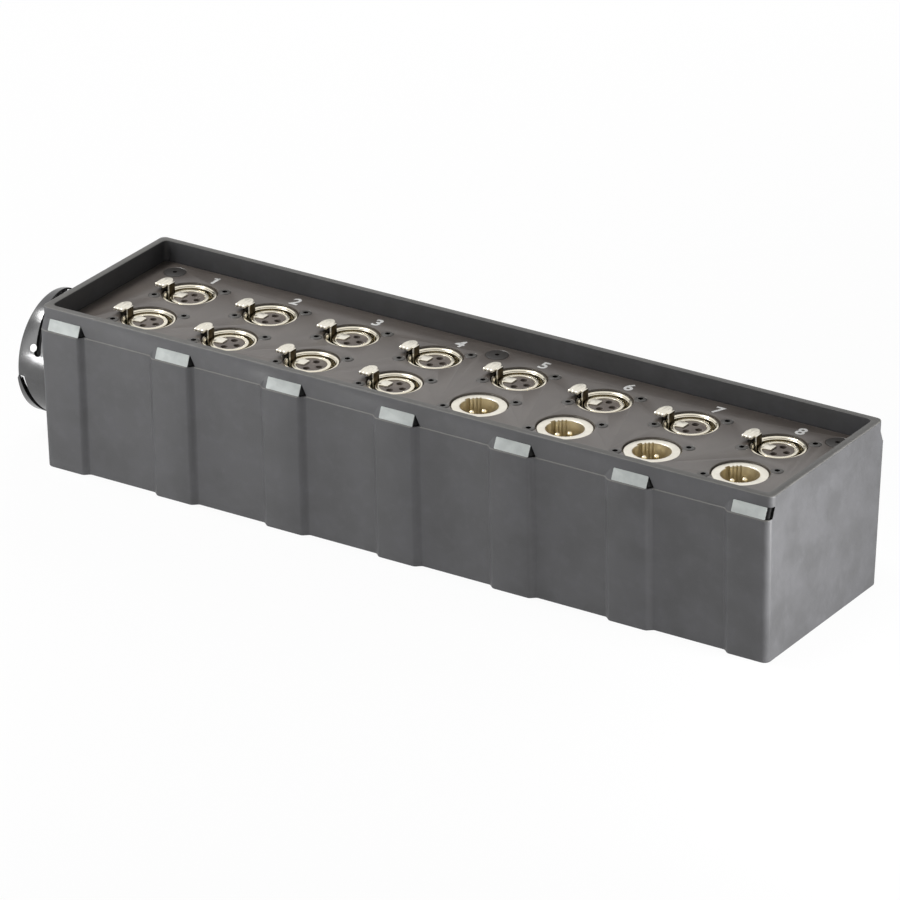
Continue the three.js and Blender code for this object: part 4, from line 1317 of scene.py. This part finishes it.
make_piece("multipin_body", multipin_shell(), [SHELL_BLACK], replaces=["multipin_shell"])
seal = ring_of(SHELL_TAIL_RADIUS + WALL_HOLE_GAP, GASKET_RADIUS, reach_of(gasket_high.x), 0)
make_piece("multipin_seal", seal, [GASKET_RUBBER], replaces=["multipin_gasket"])
make_piece("multipin_bed", on_end(multipin_insert(), end_face), [INSULATOR],
           replaces=["multipin_insert"])
bed_face = SHELL_STEP + INSERT_THICKNESS
contact_pin = round_pin(CONTACT_RADIUS, bed_face - CONTACT_ROOT, bed_face + CONTACT_LENGTH, 12)
contact_pins = joined(*(moved(contact_pin, x, y, 0) for x, y in contact_spots()))
make_piece("multipin_contacts", on_end(contact_pins, end_face), [CONTACT_METAL])
print("contacts:", len(contact_spots()))

# %% [markdown]
# ## The coupling ring
# A black ring turns on the shell and pulls the plug in with three helical slots, as a bayonet lens mount
# does. Each slot is laid out flat, with X along the ring and Y in from its outer end, and is then wrapped
# round the ring. It starts at a wide mouth under a thin skin, runs in slowly over 95 degrees, and ends in
# a round pocket where the plug's stud rests. The cutters overlap by a small margin, so that no two of
# their faces or corners meet exactly, and all of them go through the ring in one cut. Between one mouth
# and the next the outer end climbs a little. A white dot shows where to start.

# %% Turn the ring and wrap its slots
COUPLING_RADIUS = 0.0274
COUPLING_WALL = 0.0022
COUPLING_START = 0.0009
COUPLING_END_STEP = 0.0008
COUPLING_EDGE = 0.0005
LIP_START = SEAT_GAP + SHELL_FLANGE + SEAT_GAP
LIP_END = LIP_START + 0.003
LIP_GAP = 0.0004
BAYONET_COUNT = 3
BAYONET_TURN = math.radians(95)
MOUTH_TURN = math.radians(-25)
BAYONET_WIDTH = 0.0026
MOUTH_WIDTH = 0.0042
BAYONET_START = 0.0026
BAYONET_END = 0.0106
POCKET_RADIUS = 0.0018
POCKET_SEGMENTS = 31
MOUTH_SKIN = 0.0008
SLOT_MARGIN = 0.00013
WRAP_STEP = 0.0012
DOT_RADIUS = 0.0017
DOT_DEPTH = 0.0077
DOT_TURN = math.radians(66.2)
DOT_PROUD = 0.00005

coupling_reach = reach_of(ring_low.x)


def wrapped(bm, start_turn):
    """Bends a flat shape round the coupling ring: X becomes the turn, Y the way in, and Z the radius."""
    for dot in bm.verts:
        turn = -(start_turn + dot.co.x / COUPLING_RADIUS)
        dot.co = (dot.co.z * math.cos(turn), dot.co.z * math.sin(turn), coupling_reach - dot.co.y)
    return bm


def sliced(bm, low, high, step):
    """Cuts a flat shape across X at even steps, so that it can bend."""
    for cut in range(1, int((high - low) / step) + 1):
        everything = bm.verts[:] + bm.edges[:] + bm.faces[:]
        bmesh.ops.bisect_plane(bm, geom=everything, plane_co=(low + cut * step, 0, 0), plane_no=(1, 0, 0),
                               dist=MERGE_DISTANCE)
    return bm


def bayonet_slot(start_turn):
    low, high = COUPLING_RADIUS - COUPLING_WALL - OVERRUN, COUPLING_RADIUS + OVERRUN
    run = BAYONET_TURN * COUPLING_RADIUS
    half = BAYONET_WIDTH / 2
    ramp = plate([(0, BAYONET_START - half), (run, BAYONET_END - half), (run, BAYONET_END + half),
                  (0, BAYONET_START + half)], low, high)
    mouth_depth = BAYONET_START + half + SLOT_MARGIN
    mouth = plate(rectangle(MOUTH_WIDTH, mouth_depth + OVERRUN, 0, (mouth_depth - OVERRUN) / 2),
                  low - SLOT_MARGIN, COUPLING_RADIUS - MOUTH_SKIN)
    pocket = turned_rod(POCKET_RADIUS, low - 2 * SLOT_MARGIN, high + SLOT_MARGIN, POCKET_SEGMENTS)
    shifted(pocket, run - SLOT_MARGIN, BAYONET_END - POCKET_RADIUS + half + SLOT_MARGIN, 0)
    sliced(ramp, 0, run, WRAP_STEP)
    sliced(mouth, -MOUTH_WIDTH / 2, MOUTH_WIDTH / 2, WRAP_STEP)
    return [wrapped(tool, start_turn) for tool in (ramp, mouth, pocket)]


def coupling_ring():
    bore = COUPLING_RADIUS - COUPLING_WALL
    ring = spun([(COUPLING_RADIUS, COUPLING_START), (COUPLING_RADIUS, coupling_reach), (bore, coupling_reach),
                 (bore, LIP_END), (SHELL_RADIUS + LIP_GAP, LIP_END), (SHELL_RADIUS + LIP_GAP, LIP_START),
                 (bore, LIP_START), (bore, COUPLING_START)], MULTIPIN_SEGMENTS)
    softened(turned(ring, -MOUTH_TURN), COUPLING_EDGE, 3, 60)
    sector = 2 * math.pi / BAYONET_COUNT
    for dot in ring.verts:
        if dot.co.z > coupling_reach - 2 * COUPLING_EDGE:
            share = (-math.atan2(dot.co.y, dot.co.x) - MOUTH_TURN) % sector / sector
            dot.co.z -= COUPLING_END_STEP * share
    tools = [tool for number in range(BAYONET_COUNT) for tool in bayonet_slot(MOUTH_TURN + number * sector)]
    return on_end(carved(ring, joined(*tools)), end_face)


def coupling_dot():
    rise = COUPLING_RADIUS + DOT_PROUD
    dot = shifted(turned_rod(DOT_RADIUS, rise - 2 * DOT_PROUD, rise, 32), 0, DOT_DEPTH, 0)
    sliced(dot, -DOT_RADIUS, DOT_RADIUS, DOT_RADIUS / 4)
    return on_end(wrapped(dot, DOT_TURN), end_face)


make_piece("coupling_sleeve", coupling_ring(), [GLOSS_BLACK], body="coupling_ring",
           replaces=["multipin_coupling_ring"], crease=30)
make_piece("coupling_mark", coupling_dot(), [PRINT_WHITE], body="coupling_ring")
print("coupling ring:", len(made_pieces[-2].data.polygons), "faces")

# %% [markdown]
# ## The snap ring, and what stays as it was packed
# A split ring of spring steel sits in front of the coupling ring's lip and keeps it on the shell. The
# lock nut and the wiring are hidden in the tub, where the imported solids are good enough, so they only get
# a finish.

# %% Make the snap ring and dress the rest
SNAP_OPENING = 0.006

snap_low, snap_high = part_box("multipin_snap_ring")
snap_inner = SHELL_RADIUS + SEAT_GAP
snap_outer = (snap_high.y - snap_low.y) / 2
snap = ring_of(snap_inner, snap_outer, reach_of(snap_high.x), reach_of(snap_low.x))
gap_cutter = plate(rectangle(2 * (snap_high.x - snap_low.x), SNAP_OPENING, snap_low.x),
                   snap_low.z - OVERRUN, multipin_height - snap_inner + OVERRUN)
make_piece("snap_clip", carved(snap, gap_cutter), [SCREW_BLACK],
           replaces=["multipin_snap_ring"])
for name, finish in (("multipin_lock_nut", SCREW_BLACK), ("wiring_loom", CABLE_SHEATH)):
    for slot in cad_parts[name].material_slots:
        slot.material = finish
print("pieces made:", len(made_pieces))

# %% [markdown]
# ## Floor and light
# The box is shown on a pale floor under soft light. The floor is white to the camera and to anything that
# mirrors it, apart from a small share of plain diffuse white which takes the object's shadow. The world
# does the same: white where it is seen or mirrored, and a gentler light on matt surfaces. Three low lamps
# stand at the left, at the right and straight in front of the right end. They stay under the height of
# the rim, so they brighten the walls but never reach into the recess. A large lamp stands higher at the
# front left, one hangs overhead on the left, and one behind the box lights its rear, without a reflection
# of its own.

# %% Lay the floor and hang the lamps
FLOOR_SIZE = 8.0
FLOOR_SHADOW_SHARE = 0.07
FLOOR_GLOW = 1.0
WORLD_DIFFUSE = 0.045
FLOOR_MATT = 0.8
# each lamp: its name, where it stands, what it looks at, its length and height, and its power in watts
LAMPS = (("front_left", (-0.6, -0.85, 0.6), (-0.05, 0, 0.04), (0.8, 1.1), 5.3),
         ("low_left", (-0.33, -0.42, 0.036), (-0.13, -0.05, 0.036), (0.3, 0.05), 1.45),
         ("low_front_right", (0.8, -0.35, 0.036), (0.12, -0.05, 0.036), (0.3, 0.05), 2.5),
         ("low_right", (0.4, -0.03, 0.06), (0, -0.03, 0.06), (0.12, 0.022), 1.6),
         ("overhead", (-1.0, -0.2, 1.5), (0, 0, 0.05), (0.5, 0.5), 20.0),
         ("rear", (-0.35, 0.95, 0.55), (0, 0, 0.04), (0.8, 0.8), 6.0))


def seen_ray(nodes):
    """1 for rays from the camera, off glossy surfaces and through clear ones, 0 for the rest."""
    paths = [nodes.add("ShaderNodeLightPath", output=name) for name in
             ("Is Camera Ray", "Is Glossy Ray", "Is Transmission Ray")]
    return nodes.add("ShaderNodeClamp", values={"Value": paths[0] + paths[1] + paths[2]})


floor_finish = bpy.data.materials.new("pale_floor")
floor_finish.use_nodes = True
floor_nodes = Nodes(floor_finish.node_tree)
glow = floor_nodes.add("ShaderNodeEmission", values={"Color": (1, 1, 1, 1), "Strength": FLOOR_GLOW})
matt = floor_nodes.add("ShaderNodeBsdfDiffuse", values={"Color": (FLOOR_MATT, FLOOR_MATT, FLOOR_MATT, 1)})
share = seen_ray(floor_nodes) * (1 - FLOOR_SHADOW_SHARE)
blend = floor_nodes.add("ShaderNodeMixShader", values={0: share, 1: matt, 2: glow})
feed(floor_nodes.tree, floor_nodes.tree.nodes["Material Output"].inputs["Surface"], blend)
floor_nodes.tree.nodes.remove(floor_nodes.tree.nodes["Principled BSDF"])
floor_bm = bmesh.new()
bmesh.ops.create_grid(floor_bm, x_segments=1, y_segments=1, size=FLOOR_SIZE / 2)
floor_mesh = bpy.data.meshes.new("floor")
floor_bm.to_mesh(floor_mesh)
floor_bm.free()
floor_mesh.materials.append(floor_finish)
floor = bpy.data.objects.new("floor", floor_mesh)
bpy.context.scene.collection.objects.link(floor)

world = bpy.data.worlds.new("studio")
bpy.context.scene.world = world
world.use_nodes = True
strength = WORLD_DIFFUSE + seen_ray(Nodes(world.node_tree)) * (1 - WORLD_DIFFUSE)
background = world.node_tree.nodes["Background"]
background.inputs["Color"].default_value = (1, 1, 1, 1)
feed(world.node_tree, background.inputs["Strength"], strength)
bpy.context.scene.view_settings.view_transform = "Standard"


def soft_lamp(name, place, aim_at, size, power):
    """A rectangular lamp that looks at a point."""
    data = bpy.data.lights.new(name, "AREA")
    data.shape = "RECTANGLE"
    data.size, data.size_y = size
    data.energy = power
    lamp = bpy.data.objects.new(name, data)
    lamp.location = place
    lamp.rotation_euler = (Vector(aim_at) - Vector(place)).to_track_quat("-Z", "Y").to_euler()
    lamp.visible_camera = False
    bpy.context.scene.collection.objects.link(lamp)
    return lamp


lamps = {lamp[0]: soft_lamp(*lamp) for lamp in LAMPS}
lamps["rear"].visible_glossy = False
print("lamps:", list(lamps))
